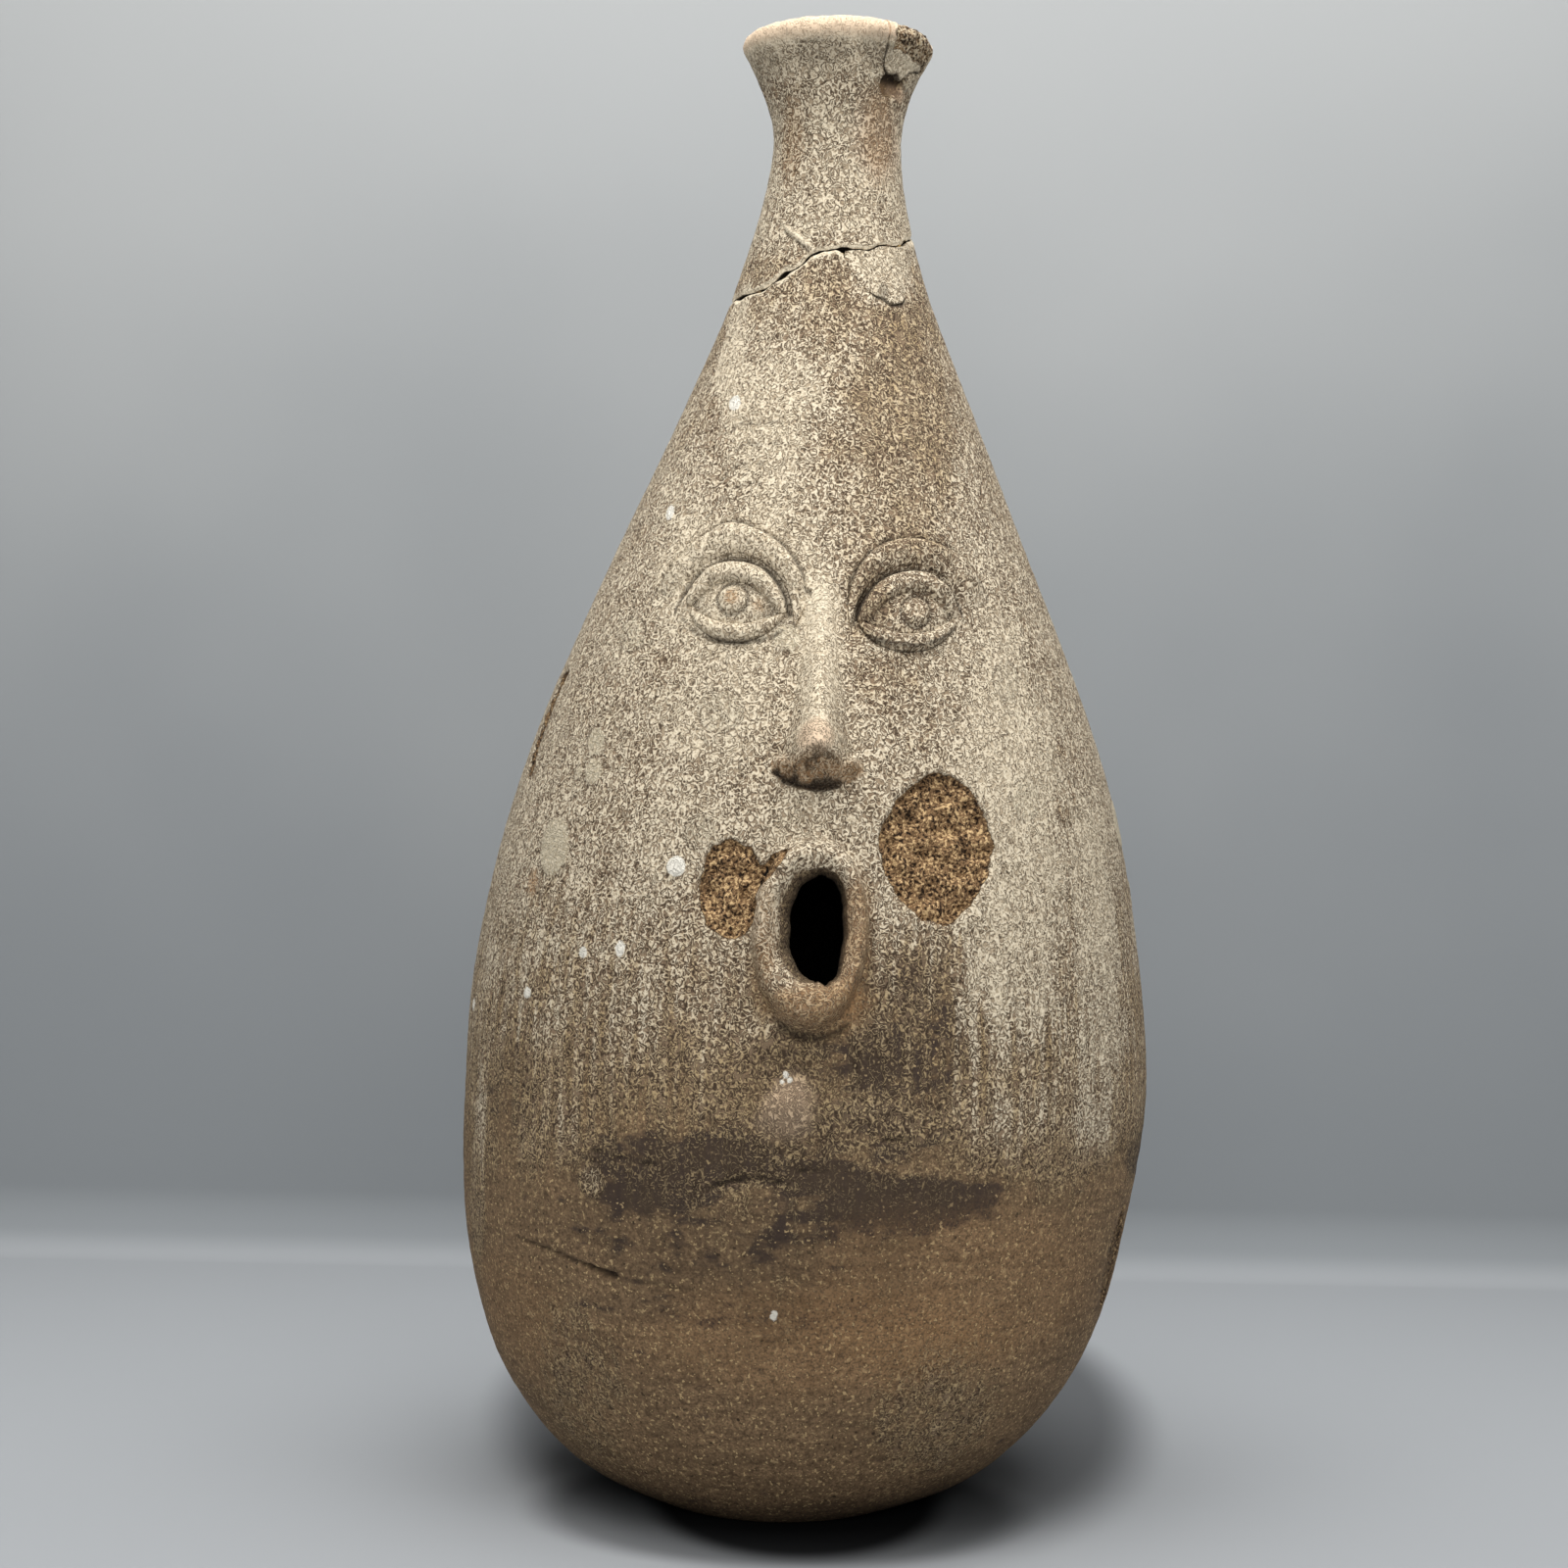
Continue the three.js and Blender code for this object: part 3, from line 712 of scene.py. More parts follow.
# Patches that have settled: arc length, height, half width, half height and rise
SPOT_ROWS: dict[Look, tuple[tuple[float, ...], ...]] = {
    Look.LICHEN: (
        (-88.9, 200.2, 7.6, 8.8, 0.35), (-74.2, 232.0, 4.0, 4.3), (-73.9, 222.9, 4.1, 3.9),
        (-81.0, 222.8, 2.0, 2.0), (-63.4, 264.3, 5.5, 5.0, 0.1), (-9.9, 263.5, 4.2, 4.2, 0.2),
        (-29.0, 241.4, 6.5, 6.0, 0.05), (-33.8, 205.7, 4.5, 4.5, 0.05), (67.6, 217.2, 5.5, 5.8, 0.15),
        (61.8, 252.5, 5.0, 5.5, 0.05), (16.2, 452.6, 1.3, 1.2, 0.5), (12.9, 443.4, 0.9, 1.4, 0.45),
        (26.2, 441.6, 1.0, 1.3, 0.45), (135.0, 210.0, 8.5, 7.5, 0.35), (150.0, 188.0, 4.0, 4.2),
        (-170.0, 232.0, 6.5, 7.0, 0.3), (-205.0, 180.0, 4.5, 4.5), (118.0, 285.0, 3.6, 3.6),
        (-290.0, 205.0, 5.0, 5.5),
    ),
    Look.CHALK: (
        (-31.1, 336.9, 2.2, 2.3), (-54.0, 302.7, 1.9, 2.3), (-40.4, 195.9, 2.9, 2.9, 0.4),
        (-5.4, 138.0, 0.8, 0.9), (-4.2, 136.6, 0.6, 0.8), (-6.3, 136.0, 0.5, 0.6), (-6.1, 68.4, 1.0, 1.4),
        (-95.9, 156.7, 1.9, 1.7), (-71.3, 169.9, 1.5, 1.6), (-57.5, 171.7, 1.6, 2.2),
        (190.0, 240.0, 2.0, 2.2), (-140.0, 150.0, 1.8, 2.0), (230.0, 140.0, 2.4, 2.2),
    ),
}
SPOTS = tuple(Spot(look, *row) for look, rows in SPOT_ROWS.items() for row in rows)

# Stretches of wall: arc length, height, half width, half height and amount
ZONE_ROWS: dict[Look, tuple[tuple[float, ...], ...]] = {
    Look.COVER: (
        (62, 200, 22, 62, 0.27), (52, 255, 20, 40, 0.05), (-18, 330, 16, 30, 0.24), (0, 258, 7, 26, 0.3),
        (-26, 280, 32, 26, 0.24), (26, 330, 20, 48, -0.14), (10, 274, 9, 15, -0.16),
        (22, 250, 14, 10, -0.08), (31, 152, 20, 26, -0.14), (0, 138, 26, 13, -0.18),
        (-12, 178, 5, 18, 0.16), (-102, 127, 22, 16, -0.12), (0, 209, 16, 8, 0.1),
        (-30, 240, 22, 18, 0.14), (-40, 205, 16, 18, 0.08), (80, 118, 34, 14, 0.18),
        (-125, 100, 8, 34, 0.3), (-84, 118, 14, 16, 0.14), (18, 380, 14, 12, 0.16), (0, 459, 120, 7, 0.58),
        (0, 449, 120, 8, 0.22), (0, 412, 90, 26, 0.24), (103, 163, 16, 60, 0.22), (-5, 117, 44, 9, -0.06),
        (-50, 300, 14, 30, 0.07), (-64, 104, 5, 5, 0.35), (46, 38, 22, 24, 0.2), (-70, 40, 20, 30, 0.16),
        (-36, 358, 9, 18, 0.35), (-160, 100, 12, 26, 0.2), (-215, 116, 22, 16, -0.12),
        (-280, 100, 16, 24, 0.18), (172, 98, 12, 24, 0.22), (232, 118, 24, 16, -0.14),
        (300, 104, 12, 22, 0.2), (-4.2, 130, 9, 8, 0.14), (1, 157, 18, 9, -0.12), (13, 174, 6, 20, -0.16),
        (-13, 168, 5, 14, -0.12), (-0.6, 232, 7, 6, 0.25), (14, 425, 8, 15, -0.14),
        (-16, 422, 7, 15, -0.1),
    ),
    Look.STREAK: (
        (46, 38, 30, 30, 0.3), (-70, 40, 30, 34, 0.3), (62, 190, 40, 75, 0.6), (33, 150, 28, 28, 0.7),
        (-70, 150, 50, 40, 0.6), (210, 150, 130, 45, 0.5), (-220, 150, 110, 45, 0.5),
    ),
    Look.SMUDGE: (
        (-46, 107, 27, 12, 0.9), (-18, 113, 12, 7, 1.0), (36, 101, 27, 9, 1.0), (4, 109, 18, 5, 0.8),
        (-102, 127, 22, 15, 0.3), (-26, 90, 60, 14, 0.34), (30, 148, 20, 28, 0.65), (8, 141, 24, 9, 0.5),
        (-4, 119, 44, 9, 0.5), (8, 104, 20, 8, 0.5), (150, 110, 30, 8, 0.7), (186, 104, 26, 7, 0.6),
        (208, 112, 20, 5, 0.6), (-172, 107, 28, 9, 0.7), (-206, 102, 22, 7, 0.6), (268, 110, 34, 9, 0.6),
        (316, 105, 28, 8, 0.65), (-8, 68, 62, 5, 0.3),
    ),
    Look.GRIME_AND_SHADE: (
        (-6, 82, 52, 18, 0.2), (-26, 447, 12, 6, 0.2), (-6, 449, 10, 5, 0.3), (12, 451, 7, 6, 0.3),
        (-80, 448, 30, 5, 0.3), (96, 447, 26, 6, 0.35),
    ),
    Look.RUST: (
        (52, 74, 60, 26, 0.28), (10, 60, 60, 18, 0.3), (-99, 189, 2.6, 4.5, 1.0),
        (-26.4, 274.3, 2.4, 2.4, 0.9), (-18.3, 272.3, 2.0, 2.0, 0.5), (28.0, 271.5, 2.6, 2.4, 0.12),
        (-100, 60, 30, 20, 0.25), (-230, 66, 70, 20, 0.6), (220, 60, 60, 20, 0.5), (2, 157, 16, 9, 0.6),
        (13, 176, 5, 20, 0.45), (-13, 174, 4, 20, 0.4), (14, 425, 6, 15, 0.4), (-16, 422, 5, 15, 0.35),
    ),
    Look.BLUSH: (
        (-0.6, 231.0, 5.0, 5.0, 0.8), (0, 157, 15, 9, 0.1), (11, 176, 5, 16, 0.15), (-4.2, 129, 9, 9, 0.7),
        (0, 460, 120, 6.5, 0.7), (22.5, 438.3, 4, 2.4, 0.9), (16, 424, 10, 18, 0.35),
    ),
}
ZONES = tuple(Zone(look, *row) for look, rows in ZONE_ROWS.items() for row in rows)

# Slip that is left on the wall, by height
COVER_BY_HEIGHT: tuple[Place, ...] = (
    (0, 0.03), (85, 0.04), (100, 0.07), (110, 0.16), (122, 0.30), (135, 0.40), (150, 0.50), (175, 0.60),
    (205, 0.67), (260, 0.67), (330, 0.62), (372, 0.54), (400, 0.52), (430, 0.52), (452, 0.62), (460, 0.80),
)


# Hollows at the inner corners of the eyes: middle, half sizes and depth
EYE_CORNERS: tuple[tuple[Place, Place, float], ...] = (
    ((10.0, 272.0), (8.0, 14.0), 1.5), ((-7.5, 270.0), (5.0, 11.0), 1.0))


@dataclass(frozen=True)
class Weathering:
    """Everything that time has done to the wall, its relief and its looks, with painted shade in its
    grooves.
    """

    form: BottleForm
    wobble: float = 0.30
    throwing_rings: float = 0.03
    ring_pitch: float = 7.5

    def relief(self, spots: Spots) -> Field:
        """Height of the weathered surface over the even wall.

        Args:
            spots: Places on the wall.

        Returns:
            Millimetres, positive outwards.
        """
        plain = spots.plain
        wave = 3.0 * lattice_noise(plain, 40.0, 3)
        lift = self.wobble * cloud_noise(plain, 55.0, 1, 3)
        lift = lift + self.throwing_rings * np.sin(2 * math.pi * (spots.height + wave) / self.ring_pitch)
        lift = lift + 0.07 * lattice_noise(plain, 2.4, 5)
        rim = smoothstep(444.0, 456.0, spots.height)
        lift = lift + rim * (0.30 * cloud_noise(plain, 9.0, 7, 3) + 0.12 * lattice_noise(plain, 2.0, 9))
        for groove in GROOVES:
            lift = lift - groove.reading(spots)[0]
        for burst in (*BURSTS, *FLAKES):
            lift = lift - burst.sink(spots)
        for spot in SPOTS:
            lift = lift + spot.rise * smoothstep(-0.3, 0.5, spot.inside(spots))
        for middle, half, deep in EYE_CORNERS:
            lift = lift - deep * dome(oval(spots.arc, spots.height, middle, half))
        return lift

    def looks(self, spots: Spots) -> Looks:
        """Weathering and painted shade at spots, as the clay finish reads it.

        Args:
            spots: Places on the wall.

        Returns:
            One value for each spot and kind of weathering.
        """
        plain = spots.plain
        values = {look: np.zeros(spots.turn.shape) for look in Look}
        table = np.array(COVER_BY_HEIGHT)
        drift = 7.0 * cloud_noise(plain, 32.0, 41, 3)
        values[Look.COVER] = np.interp(spots.height + drift, table[:, 0], table[:, 1])
        values[Look.STREAK] += 0.3
        for look in MARKS:
            values[look] += FAR
        warp_arc = spots.arc + 3.5 * cloud_noise(plain, 15.0, 51, 3)
        warp_height = spots.height + 3.0 * cloud_noise(plain, 15.0, 55, 3)
        for zone in ZONES:
            arc, height = (spots.arc, spots.height) if zone.half < 8 else (warp_arc, warp_height)
            values[zone.look] = values[zone.look] + zone.share(arc, height)
        # Grooves darken the wall with dirt and painted shade
        for groove in GROOVES:
            _, grime_and_shade, pale = groove.reading(spots)
            values[Look.GRIME_AND_SHADE] = np.maximum(values[Look.GRIME_AND_SHADE], grime_and_shade)
            values[Look.COVER] = values[Look.COVER] + pale
        for mark in (*BURSTS, *FLAKES, *SPOTS):
            values[mark.look] = np.maximum(values[mark.look], np.minimum(mark.inside(spots), mark.strength))
        for flake in FLAKES:
            dirt = 0.55 * smoothstep(-0.3, 0.8, flake.inside(spots))
            values[Look.GRIME_AND_SHADE] = np.maximum(values[Look.GRIME_AND_SHADE], dirt)
        values[Look.COVER] = np.clip(values[Look.COVER], 0.0, 1.5)
        return values


class MeshDraft:
    """Points, faces, weathering and bake places of one piece, gathered before its mesh is made."""

    def __init__(self) -> None:
        """Starts an empty draft."""
        self.points: list[Field] = []
        self.looks: list[Looks] = []
        self.faces: list[tuple[Field, Field]] = []
        self.creases: list[Field] = []
        self.count = 0

    def add(self, points: Field, looks: Looks) -> Field:
        """Adds a grid or line of points.

        Args:
            points: Points in millimetres, with x, y and z in the last axis.
            looks: Weathering of each point.

        Returns:
            The points' numbers, in the shape of the grid.
        """
        shape = points.shape[:-1]
        numbers = np.arange(self.count, self.count + int(np.prod(shape))).reshape(shape)
        self.points.append(points.reshape(-1, 3))
        self.looks.append({look: np.broadcast_to(looks[look], shape).ravel() for look in Look})
        self.count += numbers.size
        return numbers

    def skin(
        self, grid: Field, window: Window, wrap_rows: bool = False,
        wrap_columns: bool = False, keep: Field | None = None,
    ) -> None:
        """Covers a grid of points with four-sided faces.

        Args:
            grid: Numbers of the points.
            window: Place of the faces in the bake.
            wrap_rows: Whether the last row joins the first.
            wrap_columns: Whether the last column joins the first.
            keep: Which faces are made. All of them by default.
        """
        rows = grid.shape[0] if wrap_rows else grid.shape[0] - 1
        columns = grid.shape[1] if wrap_columns else grid.shape[1] - 1
        row, column = (side.ravel() for side in np.meshgrid(range(rows), range(columns), indexing="ij"))
        if keep is not None:
            chosen = keep[row, column]
            row, column = row[chosen], column[chosen]
        below, right = (row + 1) % grid.shape[0], (column + 1) % grid.shape[1]
        around = ((row, column), (row, right), (below, right), (below, column))
        corners = np.stack([grid[corner] for corner in around], 1)
        left, bottom, end, top = window
        u = left + (end - left) * np.stack([column, column + 1, column + 1, column], 1) / columns
        v = bottom + (top - bottom) * np.stack([row, row, row + 1, row + 1], 1) / rows
        self.faces.append((corners, np.stack([u, v], axis=-1)))

    def fan(self, loop: Field, middle: int, window: Window) -> None:
        """Closes a loop of points with triangles to one middle point.

        Args:
            loop: Numbers of the points round the loop.
            middle: Number of the middle point.
            window: Place of the faces in the bake.
        """
        after = np.roll(loop, -1)
        left, bottom, end, top = window
        turn = np.linspace(0, 2 * math.pi, len(loop) + 1)
        ring = np.stack([0.5 + 0.5 * np.cos(turn), 0.5 + 0.5 * np.sin(turn)], axis=1)
        ring = np.array([left, bottom]) + ring * np.array([end - left, top - bottom])
        centre = np.broadcast_to(ring[:-1].mean(axis=0), (len(loop), 2))
        corners = np.stack([loop, after, np.full(len(loop), middle)], axis=1)
        self.faces.append((corners, np.stack([ring[:-1], ring[1:], centre], axis=1)))

    def zip(self, loop: tuple[Field, Field], other: tuple[Field, Field], window: Window) -> None:
        """Fills the strip between two closed loops that have different numbers of points.

        Args:
            loop: Numbers of one loop's points, and their rising angles.
            other: The same of the other loop.
            window: Place of the faces in the bake.
        """
        full = 2 * math.pi
        first, second = loop[0], other[0]
        ahead, behind = (np.append(at, at[0] + full) for _, at in (loop, other))
        left, bottom, end, top = window
        u, w = (left + (end - left) * (at - ahead[0]) / full for at in (ahead, behind))
        corners, places = [], []
        i = j = 0
        while i < len(first) or j < len(second):
            a, b = first[i % len(first)], second[j % len(second)]
            low, high = (u[i], bottom), (w[j], top)
            if j == len(second) or (i < len(first) and ahead[i + 1] <= behind[j + 1]):
                i += 1
                corners.append((a, first[i % len(first)], b))
                places.append((low, (u[i], bottom), high))
            else:
                j += 1
                corners.append((a, second[j % len(second)], b))
                places.append((low, (w[j], top), high))
        self.faces.append((np.array(corners), np.array(places)))

    def crease(self, chain: Field, closed: bool = False) -> None:
        """Marks the edges along a chain of points as sharp."""
        pairs = np.stack([chain, np.roll(chain, -1)], axis=1)
        self.creases.append(pairs if closed else pairs[:-1])

    def make(self, name: str, material: Material) -> Piece:
        """Makes the piece.

        Args:
            name: Name of the piece.
            material: Finish of the piece.

        Returns:
            The new object, smooth shaded, with its faces turned outwards.
        """
        mesh = bpy.data.meshes.new(name)
        points = np.vstack(self.points) * MM
        corners = np.concatenate([part.ravel() for part, _ in self.faces])
        sizes = np.concatenate([np.full(len(part), part.shape[1]) for part, _ in self.faces])
        places = np.concatenate([uv.reshape(-1, 2) for _, uv in self.faces])
        mesh.vertices.add(len(points))
        mesh.vertices.foreach_set("co", points.ravel().astype(np.float32))
        mesh.loops.add(len(corners))
        mesh.polygons.add(len(sizes))
        starts = np.concatenate([[0], np.cumsum(sizes)[:-1]])
        mesh.polygons.foreach_set("loop_start", starts.astype(np.int32))
        mesh.loops.foreach_set("vertex_index", corners.astype(np.int32))
        mesh.update(calc_edges=True)
        bake = mesh.uv_layers.new(name=BAKE_MAP)
        bake.data.foreach_set("uv", np.clip(places, 0.0, 1.0).ravel().astype(np.float32))
        for look in Look:
            values = np.concatenate([part[look] for part in self.looks]).astype(np.float32)
            mesh.attributes.new(look.value, "FLOAT", "POINT").data.foreach_set("value", values)
        self.mark_creases(mesh)
        shape = bmesh.new()
        shape.from_mesh(mesh)
        bmesh.ops.recalc_face_normals(shape, faces=shape.faces)
        shape.to_mesh(mesh)
        shape.free()
        mesh.shade_smooth()
        mesh.materials.append(material)
        mesh.validate()
        piece = bpy.data.objects.new(name, mesh)
        bpy.context.scene.collection.objects.link(piece)
        return piece

    def mark_creases(self, mesh: bpy.types.Mesh) -> None:
        """Writes the creases into a mesh as sharp edges.

        Args:
            mesh: Mesh of the piece.
        """
        if not self.creases:
            return
        wanted = np.sort(np.vstack(self.creases), axis=1)
        ends = np.zeros(2 * len(mesh.edges), np.int32)
        mesh.edges.foreach_get("vertices", ends)
        pairs = np.sort(ends.reshape(-1, 2), axis=1).astype(np.int64)
        sharp = np.isin(pairs[:, 0] * self.count + pairs[:, 1], wanted[:, 0] * self.count + wanted[:, 1])
        mesh.attributes.new("sharp_edge", "BOOLEAN", "EDGE").data.foreach_set("value", sharp)


class NodeBench:
    """Short ways to lay out the nodes of a finish."""

    def __init__(self, name: str) -> None:
        """Starts a new material.

        Args:
            name: Name of the material.
        """
        self.material = bpy.data.materials.new(name)
        self.material.use_nodes = True
        self.tree = self.material.node_tree
        self.tree.nodes.clear()
        # The place on the object, which all pieces share
        self.place = self.add("TexCoord").outputs["Object"]

    def add(
        self, kind: str, inputs: dict[int | str, object] | None = None, **options: object,
    ) -> bpy.types.Node:
        """Adds a node.

        Args:
            kind: Kind of node.
            inputs: What sockets are linked from or set to. Nothing is done where it is None.
            options: Options of the node.

        Returns:
            The node.
        """
        node = self.tree.nodes.new(f"ShaderNode{kind}")
        for key, value in options.items():
            setattr(node, key, value)
        for key, value in (inputs or {}).items():
            if isinstance(value, Socket):
                self.tree.links.new(value, node.inputs[key])
            elif value is not None:
                node.inputs[key].default_value = value
        return node

    def reading(self, look: Look) -> Socket:
        """The weathering of one kind, as the piece holds it."""
        return self.add("Attribute", attribute_name=look.value).outputs["Fac"]

    def noise(
        self, cell: float, detail: float = 2.0, twist: float = 0.0, scale: Sequence[float] | None = None,
    ) -> Socket:
        """Noise with lumps of a given size.

        Args:
            cell: Size of a lump in millimetres.
            detail: How many finer layers it has.
            twist: How far it is twisted.
            scale: How the place is scaled along each axis first.

        Returns:
            Values about one half.
        """
        place = self.place
        if scale is not None:
            place = self.add("VectorMath", {0: place, 1: tuple(scale)}, operation="MULTIPLY").outputs[0]
        inputs = {"Vector": place, "Scale": 1.0 / (cell * MM), "Detail": detail, "Roughness": 0.5,
                  "Distortion": twist}
        return self.add("TexNoise", inputs, noise_dimensions="3D").outputs["Fac"]

    def grain_tone(self, cell: float) -> Socket:
        """A tone of its own for each of many close-packed grains."""
        inputs = {"Vector": self.place, "Scale": 1.0 / (cell * MM)}
        return self.add("TexVoronoi", inputs, voronoi_dimensions="3D", feature="F1").outputs["Color"]

    def math(self, operation: str, first: object, second: object = 0.0, clamp: bool = False) -> Socket:
        """One step of arithmetic."""
        return self.add("Math", {0: first, 1: second}, operation=operation, use_clamp=clamp).outputs[0]

    def plus(self, first: object, second: object) -> Socket:
        """The sum of two values."""
        return self.math("ADD", first, second)

    def times(self, first: object, second: object, clamp: bool = False) -> Socket:
        """The product of two values."""
        return self.math("MULTIPLY", first, second, clamp)

    def scaled(self, value: object, factor: float, offset: float = 0.0) -> Socket:
        """A value times a factor plus an offset."""
        return self.add("Math", {0: value, 1: factor, 2: offset}, operation="MULTIPLY_ADD").outputs[0]

    def eased(self, value: object, low: float, high: float) -> Socket:
        """Eases from 0 to 1 between two values."""
        inputs = {"Value": value, "From Min": low, "From Max": high}
        return self.add("MapRange", inputs, interpolation_type="SMOOTHSTEP").outputs["Result"]

    def mixed(self, share: object, first: object, second: object) -> Socket:
        """A blend of two colours."""
        return self.add("Mix", {0: share, 6: first, 7: second}, data_type="RGBA").outputs[2]

    def laid(self, under: object, over: object, share: object, most: float) -> Socket:
        """A colour laid over another by a share, which counts for so much at most."""
        return self.mixed(self.scaled(share, most), under, over)

    def bump(self, height: Socket, depth: float, normal: object = None) -> Socket:
        """A normal that is bent by a height of a given depth in millimetres."""
        inputs = {"Height": height, "Strength": 1.0, "Distance": depth * MM, "Normal": normal}
        return self.add("Bump", inputs).outputs["Normal"]

    def surface(self, colour: object, roughness: object, normal: object, shine: float) -> Material:
        """Ends the finish in one shader, with the specular level as its shine."""
        inputs = {"Base Color": colour, "Roughness": roughness, "Specular IOR Level": shine,
                  "Normal": normal}
        return self.ended(self.add("BsdfPrincipled", inputs).outputs["BSDF"])

    def ended(self, shader: Socket) -> Material:
        """Ends the finish in a shader that is laid out already."""
        self.add("OutputMaterial", {"Surface": shader})
        return self.material


def paint(red: int, green: int, blue: int) -> Paint:
    """A colour as light, from the 0 to 255 values that a screen shows."""
    shares = (value / 255 for value in (red, green, blue))
    return (*(c / 12.92 if c <= 0.04045 else ((c + 0.055) / 1.055) ** 2.4 for c in shares), 1.0)


class ClayBench(NodeBench):
    """A node bench with the patterns that several layers of the clay share."""

    def __init__(self, name: str) -> None:
        """Starts a new material with sandy grit, broad mottling and upright brush strokes.

        Args:
            name: Name of the material.
        """
        super().__init__(name)
        self.grit = self.noise(0.7)
        self.mottle = self.noise(16.0, 4.0)
        self.strokes = self.noise(2.6, scale=(1.0, 1.0, 0.06))


@dataclass(frozen=True)
class WeatheredClay:
    """Coarse brown stoneware under a pale slip that has crawled into fine worms and worn away."""

    slip: Paint = paint(242, 228, 201)
    slip_shade: Paint = paint(209, 192, 164)
    slip_gold: Paint = paint(208, 182, 137)
    slip_blush: Paint = paint(238, 206, 174)
    cream: Paint = paint(192, 174, 147)
    wash: Paint = paint(144, 122, 98)
    # Dark lines along the worms, partly painted shade, and round lichen
    dash: Paint = paint(50, 38, 28)
    clay: Paint = paint(150, 123, 93)
    clay_dark: Paint = paint(113, 92, 69)
    clay_deep: Paint = paint(78, 62, 46)
    clay_speck: Paint = paint(206, 178, 132)
    smudge: Paint = paint(56, 47, 46)
    stain: Paint = paint(78, 64, 51)
    rust: Paint = paint(178, 136, 92)
    grog_dark: Paint = paint(44, 31, 20)
    grog: Paint = paint(144, 113, 80)
    grog_pale: Paint = paint(226, 192, 142)
    lichen: Paint = paint(220, 208, 182)
    lichen_shade: Paint = paint(194, 179, 151)
    chalk: Paint = paint(246, 240, 226)
    # Dirt, and painted shade in creases and hollows
    grime_and_shade: Paint = paint(44, 35, 27)
    # Painted shade, nearly black, where light hardly reaches
    deep_shade: Paint = paint(20, 17, 15)
    worm: float = 1.65
    worm_turns: float = 26.0
    worm_stretch: float = 0.8
    worm_relief: float = 0.4
    grit_relief: float = 0.06
    grog_relief: float = 0.9

    def make(self) -> Material:
        """Lays out the finish.

        Returns:
            The material that every clay piece wears.
        """
        bench = ClayBench("weathered_clay")
        colour, ridge = self.slipped(bench)
        rust = bench.times(bench.reading(Look.RUST), bench.eased(bench.grit, 0.3, 0.6), clamp=True)
        colour = bench.laid(colour, self.rust, rust, 0.75)
        colour, inside, grain = self.settled(bench, colour)
        # Darkened by dirt and painted shade, then by nearly black painted shade inside and in hollows
        grime_and_shade = bench.times(bench.reading(Look.GRIME_AND_SHADE), bench.scaled(bench.grit, 0.9, 0.45), clamp=True)
        colour = bench.mixed(grime_and_shade, colour, self.grime_and_shade)
        colour = bench.mixed(bench.reading(Look.DEEP_SHADE), colour, self.deep_shade)
        normal = bench.bump(ridge, self.worm_relief, bench.bump(bench.grit, self.grit_relief))
        normal = bench.bump(bench.times(inside, grain), self.grog_relief, normal)
        return bench.surface(colour, bench.scaled(ridge, -0.06, 0.95), normal, 0.25)

    def cover(self, bench: ClayBench) -> Socket:
        """Works out how much slip is left, with brush strokes and mottling.

        Args:
            bench: Bench of the finish.

        Returns:
            The cover, from 0 for bare clay to 1 for thick slip.
        """
        cover = bench.plus(bench.reading(Look.COVER), bench.scaled(bench.mottle, 0.36, -0.18))
        brushed = bench.times(bench.scaled(bench.strokes, 1.0, -0.5), bench.reading(Look.STREAK))
        whole = bench.math("LESS_THAN", bench.reading(Look.BURST), 0.0)
        return bench.times(bench.plus(cover, brushed), whole)

    def slipped(self, bench: ClayBench) -> tuple[Socket, Socket]:
        """Lays the slip on the clay: a thin wash, pale worms, and broken dark lines along them that are
        partly painted shade.

        Args:
            bench: Bench of the finish.

        Returns:
            The colour, and how high the slip stands.
        """
        worms = bench.noise(self.worm, 1.0, 0.5, (1.0, 1.0, self.worm_stretch))
        worms = bench.scaled(bench.math("SINE", bench.scaled(worms, self.worm_turns)), 0.5, 0.5)
        worms = bench.plus(worms, bench.scaled(bench.grit, 0.7, -0.35))
        soaked = bench.times(bench.reading(Look.SMUDGE), bench.scaled(bench.strokes, 2.4, -0.5), clamp=True)
        cover, blush = self.cover(bench), bench.reading(Look.BLUSH)
        slip = bench.mixed(bench.eased(bench.grit, 0.36, 0.6), self.slip_shade, self.slip)
        slip = bench.mixed(bench.eased(cover, 0.3, 0.7), self.slip_gold, slip)
        slip = bench.laid(slip, self.slip_blush, blush, 0.8)
        colour = bench.mixed(bench.eased(cover, 0.12, 0.42), self.bare_clay(bench), self.wash)
        colour = bench.mixed(bench.eased(cover, 0.5, 0.95), colour, self.cream)
        colour = bench.laid(colour, self.stain, soaked, 0.85)
        thick = bench.eased(cover, 1.0, 1.2)
        colour = bench.laid(colour, slip, thick, 0.9)
        within = bench.plus(worms, bench.scaled(cover, 0.7, -0.48))
        pale = bench.times(bench.eased(within, 0.3, 0.95), bench.eased(cover, 0.05, 0.2))
        # Broken dark lines along the worms: dark clay between them, partly painted shade beside the raised
        # slip
        between = bench.plus(worms, bench.scaled(cover, 0.3, -0.19))
        border = bench.times(bench.eased(between, 0.2, 0.0), bench.eased(cover, 0.08, 0.3))
        border = bench.times(border, bench.eased(bench.noise(2.3, 1.0), 0.34, 0.47))
        border = bench.times(border, bench.scaled(thick, -0.3, 1.0))
        colour = bench.laid(colour, self.dash, border, 0.85)
        colour = bench.mixed(bench.times(pale, bench.scaled(soaked, -0.35, 0.95)), colour, slip)
        colour = bench.laid(colour, self.slip_blush, blush, 0.3)
        return colour, bench.times(bench.eased(within, 0.0, 0.9), bench.eased(cover, 0.0, 0.3))

